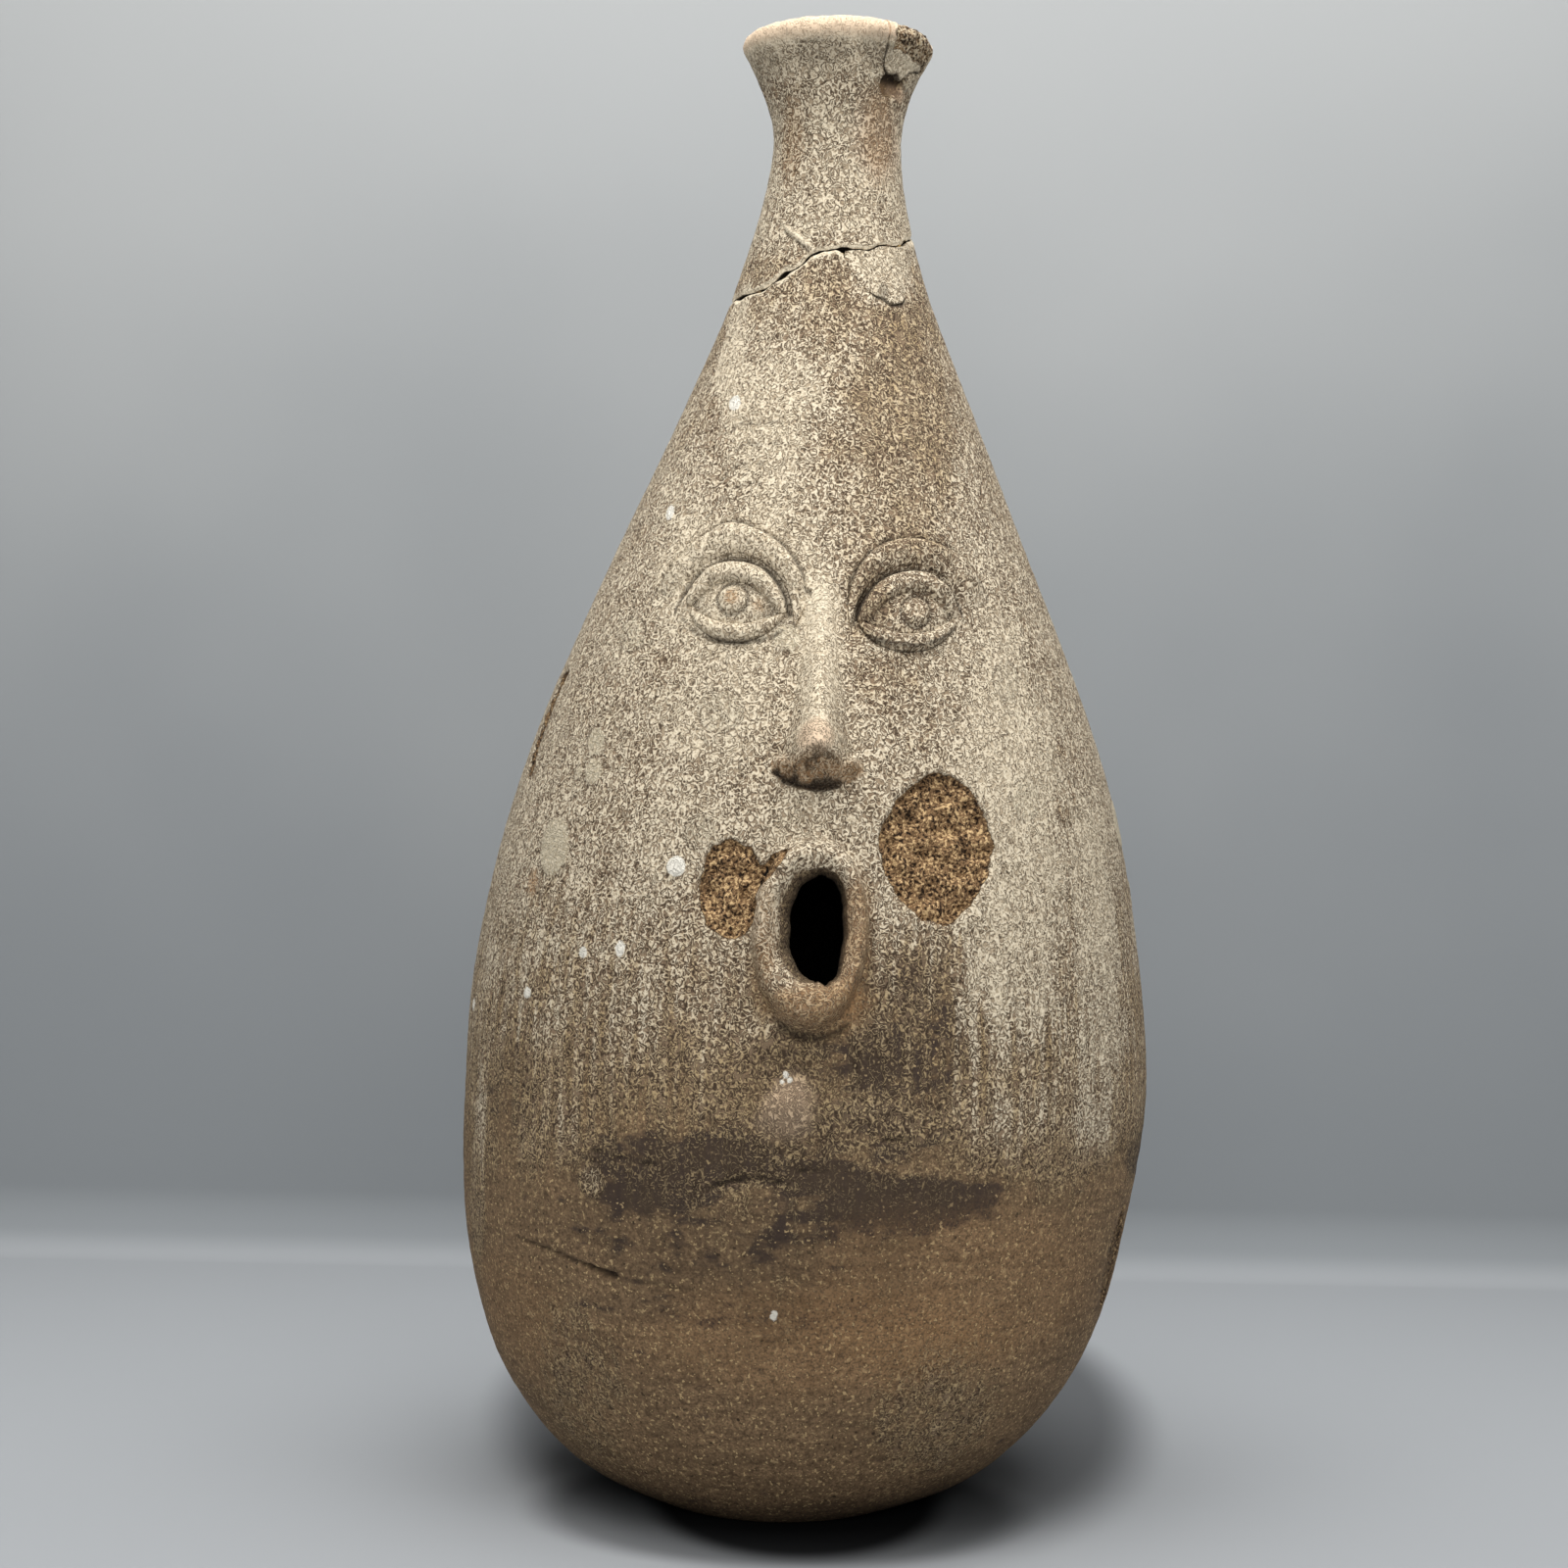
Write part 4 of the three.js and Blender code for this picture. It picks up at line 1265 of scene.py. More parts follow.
    def bare_clay(self, bench: ClayBench) -> Socket:
        """Works out the colour of the clay where no slip is left.

        Args:
            bench: Bench of the finish.

        Returns:
            The colour.
        """
        clay = bench.mixed(bench.eased(bench.grit, 0.36, 0.62), self.clay_dark, self.clay)
        turned = bench.noise(2.6, 3.0, scale=(0.12, 0.12, 1.0))
        sand = bench.noise(1.7, 3.0, 0.3)
        torn = bench.noise(9.0, 4.0, scale=(1.0, 1.0, 2.2))
        smudge = bench.plus(bench.reading(Look.SMUDGE), bench.scaled(torn, 2.6, -1.3))
        specks = bench.noise(1.1, 1.0)
        pits = bench.noise(1.5, 0.5, scale=(1.0, 1.1, 0.9))
        # Pits are darkened with dirt and painted shade
        for pattern, low, high, most, tint in (
            (bench.mottle, 0.4, 0.7, 0.5, self.clay_dark), (turned, 0.45, 0.7, 0.4, self.clay_deep),
            (sand, 0.5, 0.68, 0.6, self.clay_deep), (sand, 0.4, 0.3, 0.5, self.clay_speck),
            (smudge, 0.3, 0.8, 0.85, self.smudge), (specks, 0.65, 0.69, 0.9, self.clay_speck),
            (pits, 0.27, 0.22, 0.8, self.grime_and_shade),
        ):
            clay = bench.laid(clay, tint, bench.eased(pattern, low, high), most)
        return clay

    def settled(self, bench: ClayBench, colour: Socket) -> tuple[Socket, Socket, Socket]:
        """Adds burst places, lichen and chalk to the colour.

        Args:
            bench: Bench of the finish.
            colour: Colour of the wall.

        Returns:
            The colour, where the clay has burst, and the height of its grains.
        """
        grain = bench.noise(0.95, 2.0, 0.4)
        tone = bench.plus(bench.scaled(bench.grain_tone(0.9), 0.4, -0.2), bench.scaled(grain, 2.3, -0.63))
        tone = bench.plus(tone, bench.scaled(bench.noise(5.0), 0.5, -0.25))
        grog = bench.mixed(bench.eased(tone, 0.2, 0.5), self.grog_dark, self.grog)
        grog = bench.mixed(bench.eased(tone, 0.66, 0.8), grog, self.grog_pale)
        burst = bench.reading(Look.BURST)
        inside = bench.eased(burst, -0.1, 0.15)
        # Painted shadow: the edge of a burst place is darkened with dark grog
        rim = bench.times(bench.eased(burst, -0.5, 0.0), bench.eased(burst, 0.9, 0.25))
        colour = bench.laid(bench.mixed(inside, colour, grog), self.grog_dark, rim, 0.25)
        ragged = bench.scaled(grain, 3.4, -1.7)
        deep = bench.plus(bench.reading(Look.LICHEN), bench.scaled(ragged, 0.8))
        ring = bench.times(bench.eased(deep, -1.0, -0.6), bench.eased(deep, 0.1, -0.3))
        colour = bench.laid(colour, self.dash, ring, 0.3)
        crust = bench.mixed(bench.eased(bench.grit, 0.40, 0.58), self.lichen_shade, self.lichen)
        colour = bench.laid(colour, crust, bench.eased(deep, -0.1, 0.7), 0.9)
        chalk = bench.plus(bench.reading(Look.CHALK), bench.scaled(ragged, 0.3))
        return bench.mixed(bench.eased(chalk, -0.3, 0.1), colour, self.chalk), inside, grain


@dataclass(frozen=True)
class YellowedGlue:
    """Old repair glue that has yellowed in the breaks."""

    clear: Paint = paint(206, 172, 104)
    stained: Paint = paint(96, 74, 48)

    def make(self) -> Material:
        """Lays out the finish.

        Returns:
            The material of the glue.
        """
        bench = NodeBench("yellowed_glue")
        stain = bench.noise(3.0, 3.0)
        colour = bench.mixed(bench.eased(stain, 0.4, 0.6), self.stained, self.clear)
        return bench.surface(colour, bench.scaled(stain, 0.3, 0.3), bench.bump(stain, 0.2), 0.5)


@dataclass(frozen=True)
class GreyPaper:
    """Grey paper with a painted shadow of the jug on its floor, painted shade low on the backdrop, and
    unseen from behind.
    """

    floor: Paint = paint(167, 170, 173)
    # The backdrop is painted darker low and lighter high, as shade and light from above
    low: Paint = paint(145, 149, 152)
    high: Paint = paint(180, 182, 182)
    shadow: Paint = paint(0, 0, 0)
    # Painted shadow round the foot and under it: middle, half width and half depth in metres, and how dark
    # it is
    shades: tuple[tuple[Place, Place, float], ...] = (
        ((0.0125, 0.13), (0.115, 0.245), 0.64), ((-0.002, -0.045), (0.075, 0.07), 0.5),
        ((0.003, -0.028), (0.046, 0.078), 0.9))
    # Shares of those half sizes between which the shade fades
    shade_edge: Place = (1.09, 0.85)

    def shaded(self, bench: NodeBench) -> Socket:
        """Paints shadow on the floor where the jug keeps the light off it.

        Args:
            bench: Bench of the finish.

        Returns:
            The colour of the floor.
        """
        floor: object = self.floor
        for middle, half, dark in self.shades:
            scale = (1 / half[0], 1 / half[1], 0.0)
            shift = (-middle[0] * scale[0], -middle[1] * scale[1], 0.0)
            inside = bench.add("VectorMath", {0: bench.place, 1: scale, 2: shift}, operation="MULTIPLY_ADD")
            away = bench.add("VectorMath", {0: inside.outputs[0]}, operation="LENGTH").outputs["Value"]
            floor = bench.laid(floor, self.shadow, bench.eased(away, *self.shade_edge), dark)
        return floor

    def make(self) -> Material:
        """Lays out the finish.

        Returns:
            The material of the paper sweep.
        """
        bench = NodeBench("grey_paper")
        height = bench.add("SeparateXYZ", {0: bench.place}).outputs["Z"]
        rise = bench.plus(height, bench.scaled(bench.noise(220.0), 0.35, -0.175))
        wall = bench.mixed(bench.eased(rise, 0.05, 0.62), self.low, self.high)
        colour = bench.mixed(bench.eased(height, 0.0005, 0.012), self.shaded(bench), wall)
        paper = bench.add("BsdfDiffuse", {"Color": colour}).outputs[0]
        unseen = bench.add("BsdfTransparent").outputs[0]
        behind = bench.add("NewGeometry").outputs["Backfacing"]
        return bench.ended(bench.add("MixShader", {0: behind, 1: paper, 2: unseen}).outputs[0])


@dataclass(frozen=True)
class Bench:
    """What every piece is made with: the form, its weathering and the finishes."""

    form: BottleForm
    weathering: Weathering
    clay: Material
    glue: Material

    def lump(
        self, node: str, slot: Slot, spots: Spots, lift: Field, root: float, extra: Looks | None = None,
    ) -> None:
        """Makes a lump of clay on the wall: a shaped front, and a back that is sunk in the wall.

        Args:
            node: Node that the lump stands for.
            slot: Material slot that its finish comes from.
            spots: Grid of places that it covers.
            lift: Height of its front over the even wall.
            root: How far its back lies under the even wall.
            extra: Weathering and painted shade that is laid over the wall's own.
        """
        draft = MeshDraft()
        looks = self.weathering.looks(spots)
        for look, value in (extra or {}).items():
            looks[look] = np.maximum(looks[look], value)
        front = draft.add(spots.lifted(lift), looks)
        back = draft.add(spots.lifted(-root), looks)
        draft.skin(front, (0.0, 0.0, 0.6, 1.0))
        draft.skin(back, (0.62, 0.0, 0.9, 1.0))
        every = slice(None)
        for number, side in enumerate(((0, every), (-1, every), (every, 0), (every, -1))):
            left = 0.91 + 0.02 * number
            draft.skin(np.stack([front[side], back[side]]), (left, 0.0, left + 0.015, 1.0))
            draft.crease(front[side])
            draft.crease(back[side])
        self.place(draft, node, slot)

    def broken_edge(self, spots: Spots, away: Field, seed: int, pale: Place) -> tuple[Field, Field]:
        """How far the wall is chipped back near an edge of the break, and how much more slip shows."""
        ragged = away / (1.0 + 0.9 * lattice_noise(spots.plain, 5.0, seed))
        return 0.55 * smoothstep(1.1, 0.0, ragged), 0.7 * smoothstep(*pale, ragged)

    def place(self, draft: MeshDraft, node: str, slot: Slot) -> None:
        """Makes a piece, puts it in place of its node and fixes it to the body.

        Args:
            draft: Draft of the piece.
            node: Node that the piece stands for.
            slot: Material slot that its finish comes from.
        """
        material = self.glue if slot is Slot.GLUE else self.clay
        piece = draft.make(f"{node}_piece", material)
        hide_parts(node)
        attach(piece, BODY)
        log.info("%s: %d points, %d faces", piece.name, len(piece.data.vertices), len(piece.data.polygons))


def graded(stops: Sequence[float], steps: Sequence[float]) -> Field:
    """Values between stops, with a step of its own in each stretch.

    Args:
        stops: Ends of the stretches.
        steps: Largest step in each stretch.

    Returns:
        Rising values from the first stop to the last.
    """
    parts = []
    for low, high, step in zip(stops[:-1], stops[1:], steps):
        parts.append(np.linspace(low, high, max(1, math.ceil((high - low) / step)), endpoint=False))
    return np.concatenate([*parts, [stops[-1]]])


def all_round(stops: Sequence[float], steps: Sequence[float]) -> Field:
    """Angles in radians all the way round, from degrees on the right side mirrored to the left."""
    right = graded(stops, steps)
    return np.radians(np.concatenate([-right[:0:-1], right])[1:])


# Weathering of clay that has no marks, and of a broken face darkened with dirt and painted shade
UNMARKED: Looks = dict.fromkeys(Look, 0.0) | dict.fromkeys(MARKS, FAR)
BROKEN_FACE: Looks = {**UNMARKED, Look.GRIME_AND_SHADE: 1.0, Look.DEEP_SHADE: 0.7}


@dataclass
class LowerBody:
    """The bowl-shaped lower section with the floor and the flat foot."""

    bench: Bench
    columns: Grading = ((0, 60, 100, 180), (0.6, 1.2, 3.0))
    row_step: float = 0.8
    inside_step: float = 6.0
    front_fullness: float = 4.2
    fullness_height: float = 40.0

    def build(self) -> None:
        """Builds the section."""
        form = self.bench.form
        draft = MeshDraft()
        turns = all_round(*self.columns)
        top = float(form.along(form.seam_height))
        rows = np.linspace(0.0, top, math.ceil(top / self.row_step))
        spots = Spots(form, *np.meshgrid(turns, rows))
        fade = smoothstep(0.0, 8.0, spots.height)
        lift = self.bench.weathering.relief(spots) * fade
        facing = np.clip(np.cos(spots.turn + 0.1), 0.0, 1.0) ** 6
        lift = lift + self.front_fullness * facing * smoothstep(self.fullness_height, 0.0, spots.height)
        looks = self.bench.weathering.looks(spots)
        # Darker towards the foot
        looks[Look.GRIME_AND_SHADE] = np.maximum(looks[Look.GRIME_AND_SHADE], 0.55 * smoothstep(14.0, 2.0, spots.height))
        points = spots.lifted(lift)
        points[..., 2] = np.maximum(points[..., 2], 0.0)
        outside = draft.add(points, looks)
        draft.skin(outside, (0.0, 0.0, 1.0, 0.7), wrap_columns=True)
        inner_rows = np.linspace(0.0, top, math.ceil(top / self.inside_step))
        inner = Spots(form, *np.meshgrid(turns, inner_rows))
        looks = self.bench.weathering.looks(inner)
        # Painted shade inside the body
        looks[Look.DEEP_SHADE] = 0.9
        inside = draft.add(inner.lifted(-form.thickness(inner.height)), looks)
        draft.skin(inside, (0.0, 0.72, 1.0, 0.84), wrap_columns=True)
        draft.skin(np.stack([outside[-1], inside[-1]]), (0.0, 0.85, 1.0, 0.86), wrap_columns=True)
        draft.crease(outside[-1], closed=True)
        draft.crease(outside[0], closed=True)
        self.close(draft, outside[0], 0.0, (0.0, 0.87, 0.12, 0.99), 0.5)
        self.close(draft, inside[0], form.floor_thickness, (0.15, 0.87, 0.27, 0.99), 0.9)
        self.bench.place(draft, "lower_body", Slot.BARE)

    def close(self, draft: MeshDraft, loop: Field, height: float, window: Window, deep_shade: float) -> None:
        """Closes the foot or the floor with rings of faces round a middle.

        Args:
            draft: Draft of the piece.
            loop: Numbers of the points round the edge.
            height: Height of the middle.
            window: Place in the bake.
            deep_shade: How dark the disc is painted, as shade.
        """
        edge = np.vstack(draft.points)[loop]
        middle = np.array([math.tan(self.bench.form.lean) * height, 0.0, height])
        looks = {**UNMARKED, Look.DEEP_SHADE: deep_shade}
        before = loop
        for share in (0.75, 0.5, 0.25):
            ring = draft.add(middle + (edge - middle) * share, looks)
            draft.skin(np.stack([before, ring]), window, wrap_columns=True)
            before = ring
        centre = draft.add(middle[None], looks)
        draft.fan(before, int(centre[0]), window)


@dataclass
class UpperBody:
    """The cone-shaped upper section, with the mouth cut through it and the neck broken off it."""

    bench: Bench
    seats: tuple[Callable[[Spots], Field], ...]
    mouth: "MouthLip"
    sherd: "ShoulderSherd"
    columns: Grading = ((0, 50, 95, 180), (0.5, 1.0, 2.5))
    rows: Grading = ((98, 118, 214, 302, 362), (1.2, 0.9, 0.75, 1.3))
    neck_rows: int = 44
    inside_columns: Grading = ((0, 14, 180), (1.0, 6.0))
    inside_rows: Grading = ((98, 150, 210, 362), (9.0, 2.2, 9.0))

    def heights(self, turns: Field, rows: Field, count: int) -> Field:
        """Heights of a grid whose top row follows the break.

        Args:
            turns: Angles of the columns.
            rows: Heights of the level rows.
            count: How many rows there are above those.

        Returns:
            A height for each row and column.
        """
        top = self.bench.form.break_line(turns) - self.bench.form.break_gap(turns)
        share = np.linspace(0.0, 1.0, count + 1)[1:, None]
        level = np.repeat(rows[:, None], len(turns), axis=1)
        return np.vstack([level, rows[-1] + share * (top - rows[-1])])

    def build(self) -> None:
        """Builds the section."""
        form, weathering = self.bench.form, self.bench.weathering
        draft = MeshDraft()
        turns = all_round(*self.columns)
        height = self.heights(turns, graded(*self.rows), self.neck_rows)
        spots, keep, mouth_edge = self.cut_mouth(turns, height)
        lift = weathering.relief(spots)
        for seat in self.seats:
            lift = lift - seat(spots)
        looks = weathering.looks(spots)
        # Painted shade and dirt along the shoulder sherd's lower edge
        looks[Look.GRIME_AND_SHADE] = np.maximum(looks[Look.GRIME_AND_SHADE], self.sherd.shade(spots))
        below = form.break_line(spots.turn) - form.break_gap(spots.turn) - spots.height
        worn, pale = self.bench.broken_edge(spots, below, 79, (2.2, 0.6))
        looks[Look.COVER] = np.clip(looks[Look.COVER] + pale, 0, 1.4)
        outside = draft.add(spots.lifted(lift - worn), looks)
        draft.skin(outside, (0.0, 0.0, 1.0, 0.8), wrap_columns=True, keep=keep)

        inner_turns = all_round(*self.inside_columns)
        inner_height = self.heights(inner_turns, graded(*self.inside_rows), 6)
        inner, inner_keep, inner_edge = self.cut_mouth(inner_turns, inner_height)
        looks = weathering.looks(inner)
        # Painted shade inside the body
        looks[Look.DEEP_SHADE] = 0.95
        inside = draft.add(inner.lifted(-form.thickness(inner.height)), looks)
        draft.skin(inside, (0.0, 0.82, 1.0, 0.94), wrap_columns=True, keep=inner_keep)
        face = draft.add(form.point(turns, spots.along[-1] - 0.15, -1.5), BROKEN_FACE)
        draft.skin(np.stack([outside[-1], face]), (0.0, 0.985, 1.0, 0.99), wrap_columns=True)
        for row, edge, bottom in ((0, outside[0], 0.95), (-1, face, 0.96)):
            draft.zip((edge, turns), (inside[row], inner_turns), (0.0, bottom, 1.0, bottom + 0.008))
            draft.crease(outside[row], closed=True)
            draft.crease(inside[row], closed=True)
        loops = [self.mouth_loop(grid[edge], at, edge) for grid, at, edge in (
            (outside, spots, mouth_edge), (inside, inner, inner_edge))]
        draft.zip(*loops, (0.0, 0.97, 1.0, 0.98))
        for loop, _ in loops:
            draft.crease(loop, closed=True)
        self.bench.place(draft, "upper_body", Slot.SLIPPED)

    def cut_mouth(self, turn: Field, height: Field) -> tuple[Spots, Field, Field]:
        """Opens a grid where the mouth goes through it.

        Args:
            turn: Angles of the grid's columns.
            height: Heights of the grid's points.

        Returns:
            The spots, with those round the mouth moved to its edge, which faces are kept, and
            which points lie on the edge.
        """
        form = self.bench.form
        arc = turn * form.radius(height)
        away = self.mouth.away(arc, height)
        inside = away < 1.0
        after = np.roll(inside, -1, axis=1)
        gone = inside[:-1] | inside[1:] | after[:-1] | after[1:]
        beside = np.zeros(inside.shape, bool)
        beside[:-1] |= gone
        beside[1:] |= gone
        beside |= np.roll(beside, 1, axis=1)
        edge = beside & ~inside
        middle = self.mouth.middle
        arc = np.where(edge, middle[0] + (arc - middle[0]) / away, arc)
        height = np.where(edge, middle[1] + (height - middle[1]) / away, height)
        return Spots.on_wall(form, arc, height), ~gone, edge

    def mouth_loop(self, numbers: Field, spots: Spots, edge: Field) -> tuple[Field, Field]:
        """Points round the mouth in order.

        Args:
            numbers: Numbers of the edge's points.
            spots: Spots of the whole grid.
            edge: Which of them lie on the edge.

        Returns:
            The numbers in order, and their rising angles.
        """
        middle = self.mouth.middle
        angle = np.arctan2(spots.height[edge] - middle[1], spots.arc[edge] - middle[0])
        order = np.argsort(angle)
        return numbers[order], angle[order]


@dataclass
class Neck:
    """The neck and flared rim, broken off along a slanting line and glued back."""

    bench: Bench
    sherd: "RimSherd"
    columns: Grading = ((0, 100, 180), (1.0, 2.5))
    row_step: float = 0.6

    def build(self) -> None:
        """Builds the neck."""
        form, weathering = self.bench.form, self.bench.weathering
        draft = MeshDraft()
        turns = all_round(*self.columns)
        low = form.along(form.break_line(turns) + form.break_gap(turns))
        waist = float(form.along(form.waist_height))
        end = float(form.stations[-1, 4])
        share = np.linspace(0.0, 1.0, 70)[:, None]
        rim = np.linspace(waist, end, math.ceil((end - waist) / self.row_step))[1:, None]
        along = np.vstack([low + share * (waist - low), np.repeat(rim, len(turns), axis=1)])
        spots = Spots(form, np.broadcast_to(turns, along.shape), along)
        worn, pale = self.bench.broken_edge(spots, along - low, 83, (1.8, 0.5))
        lift = weathering.relief(spots) - self.sherd.seat(spots) - worn
        looks = weathering.looks(spots)
        shade = self.sherd.shade(spots)
        # Painted shade in the top of the chipped hollow under the rim sherd, and less slip in the hollow
        looks[Look.GRIME_AND_SHADE] = np.maximum(looks[Look.GRIME_AND_SHADE], shade * smoothstep(438.6, 441.6, spots.height))
        looks[Look.COVER] = np.clip(looks[Look.COVER] * (1 - 0.9 * shade) + pale, 0, 1.4)
        outside = draft.add(spots.lifted(lift), looks)
        draft.skin(outside, (0.0, 0.0, 1.0, 0.75), wrap_columns=True)
        inside = self.throat(draft, turns, low, waist)
        draft.skin(inside, (0.0, 0.77, 1.0, 0.95), wrap_columns=True)
        draft.skin(np.stack([outside[-1], inside[0]]), (0.0, 0.95, 1.0, 0.96), wrap_columns=True)
        face = draft.add(form.point(turns, low + 0.15, -1.5), BROKEN_FACE)
        draft.skin(np.stack([outside[0], face, inside[-1]]), (0.0, 0.97, 1.0, 0.98), wrap_columns=True)
        draft.crease(outside[0], closed=True)
        draft.crease(inside[-1], closed=True)
        self.bench.place(draft, "neck", Slot.SLIPPED)

    def throat(self, draft: MeshDraft, turns: Field, low: Field, waist: float) -> Field:
        """Adds the inside of the neck, from the lip down to the break.

        Args:
            draft: Draft of the piece.
            turns: Angles of the columns.
            low: Lengths along the outside where the break is.
            waist: Length along the outside where the neck is narrowest.

        Returns:
            Numbers of the points, from the top down.
        """
        form = self.bench.form
        lip = form.lip_centre
        narrow = (form.neck_radius - form.neck_wall, form.waist_height)
        edge = (lip[0] - form.lip_round, lip[1])
        flare = bezier([edge, (edge[0], edge[1] - form.rim_flare),
                        (narrow[0], narrow[1] + form.rim_flare), narrow], 26)[1:]
        radius, height = flare[:, :1], flare[:, 1:]
        upper = form.leaned(radius + form.unevenness(turns, height), turns, height - form.rim_sag(height))
        along = waist + np.linspace(0.0, 1.0, 24)[1:, None] * (low - waist)
        spots = Spots(form, np.broadcast_to(turns, along.shape), along)
        lower = spots.lifted(-form.thickness(spots.height))
        points = np.vstack([upper, lower])
        heights = points[..., 2]
        # Slip inside the lip, and painted shade deeper down the throat
        cover, deep_shade = 0.55 * smoothstep(425.0, 455.0, heights), 0.95 * smoothstep(450.0, 425.0, heights)
        return draft.add(points, {**UNMARKED, Look.COVER: cover, Look.DEEP_SHADE: deep_shade})


@dataclass
class NeckGlue:
    """The old glue in the break below the neck."""

    bench: Bench
    half_thickness: float = 0.22
    recess: float = 2.6
    # Where glue has swelled out: degrees round, half width and rise
    beads: tuple[tuple[float, float, float], ...] = (
        (41.0, 7.0, 2.8), (52.0, 3.0, 2.7), (-48.0, 5.0, 2.3), (150.0, 12.0, 2.7), (-140.0, 9.0, 2.6))

    def build(self) -> None:
        """Builds the ring of glue."""
        form = self.bench.form
        draft = MeshDraft()
        turns = all_round((0, 180), (1.0,))
        line = form.break_line(turns)
        middle = form.along(line)
        degrees = np.degrees(turns)
        swell = sum(rise * dome((degrees - at) / wide) for at, wide, rise in self.beads)
        outer = -self.recess + swell + 0.12 * np.sin(13 * turns)
        inner = -form.thickness(line) + 0.8
        half = self.half_thickness
        loop = ((half, outer - 0.3), (0.4 * half, outer), (-0.4 * half, outer), (-half, outer - 0.3),
                (-half, inner), (half, inner))
        points = np.stack([form.point(turns, middle + up, lift) for up, lift in loop])
        grid = draft.add(points, dict.fromkeys(Look, 0.0))
        draft.skin(grid, (0.0, 0.0, 1.0, 1.0), wrap_rows=True, wrap_columns=True)
        self.bench.place(draft, "neck_glue", Slot.GLUE)


@dataclass
class Sherd:
    """A sherd that is glued back into a pocket of the wall."""

    bench: Bench
    # Degrees round from the front, and heights
    lower_edge: tuple[Place, ...]
    depth: float
    gap: float

    def pocket(self, spots: Spots, above: Field, slope: float) -> Field:
        """How far the wall is cut back under the sherd.

        Args:
            spots: Places on the wall.
            above: How far they are above the sherd's lower edge.
            slope: How far a degree from the sherd's ends counts, in millimetres.

        Returns:
            Millimetres inwards.
        """
        degrees = np.degrees(spots.turn)
        first, last = self.lower_edge[0][0], self.lower_edge[-1][0]
        across = np.minimum(degrees - first, last - degrees) * slope
        return self.depth * smoothstep(-0.1, 0.45, np.minimum(above, across))


@dataclass
class ShoulderSherd(Sherd):
    """The sherd that is glued back just below the break, right of the middle."""

    lower_edge: tuple[Place, ...] = (
        (6.5, 384.0), (11.0, 379.5), (19.0, 374.0), (25.0, 371.6), (34.0, 369.4), (41.0, 370.2),
        (50.0, 376.5), (58.0, 381.0), (66.0, 386.0))
    depth: float = 2.4
    gap: float = 0.5

    def bottom(self, turn: Field) -> Field:
        """Height of the sherd's lower edge at angles round from the front."""
        line = np.interp(np.degrees(turn), *np.transpose(self.lower_edge), left=400.0, right=400.0)
        return line + 0.3 * lattice_noise(neck_ring(turn), 2.0, 81)

    def seat(self, spots: Spots) -> Field:
        """How far the wall is cut back under the sherd."""
        return self.pocket(spots, spots.height - self.bottom(spots.turn), 0.55)

    def shade(self, spots: Spots) -> Field:
        """How much painted shade and dirt darken the wall along the sherd's lower edge."""
        bottom = self.bottom(spots.turn)
        return smoothstep(374.0, 371.0, bottom) * smoothstep(1.0, 0.4, np.abs(spots.height - bottom - 0.1))

    def build(self) -> None:
        """Builds the sherd."""
        form = self.bench.form
        first, last = self.lower_edge[0][0] + 0.7, self.lower_edge[-1][0] - 0.7
        turns = np.radians(np.linspace(first, last, 110))
        tip = smoothstep(374.0, 370.8, self.bottom(turns))
        low, high = self.bottom(turns) + 0.04 + self.gap * tip, form.break_line(turns) - 0.35
        high = np.maximum(high, low + 0.5)
        share = np.linspace(0.0, 1.0, 60)[:, None]
        height = low + share * (high - low)
        spots = Spots(form, np.broadcast_to(turns, height.shape), form.along(height))
        lift = self.bench.weathering.relief(spots) + 0.4 * tip * (1 - share)
        lift = lift - 0.3 * tip * smoothstep(0.6, 0.0, height - low)
        plain = self.bench.weathering.looks(spots)[Look.COVER]
        aside = np.minimum(spots.turn - turns[0], turns[-1] - spots.turn) * 30.0
        within = smoothstep(0.0, 5.0, np.minimum(aside, height - low + 6.0 * tip))
        extra = {Look.COVER: plain + 0.16 * within}
        grey = dome(oval(spots.arc, height, (16.4, 373.5), (3.2, 3.6)))
        extra[Look.GRIME_AND_SHADE] = 0.6 * grey
        self.bench.lump("shoulder_sherd", Slot.SLIPPED, spots, lift, self.depth - 0.2, extra)


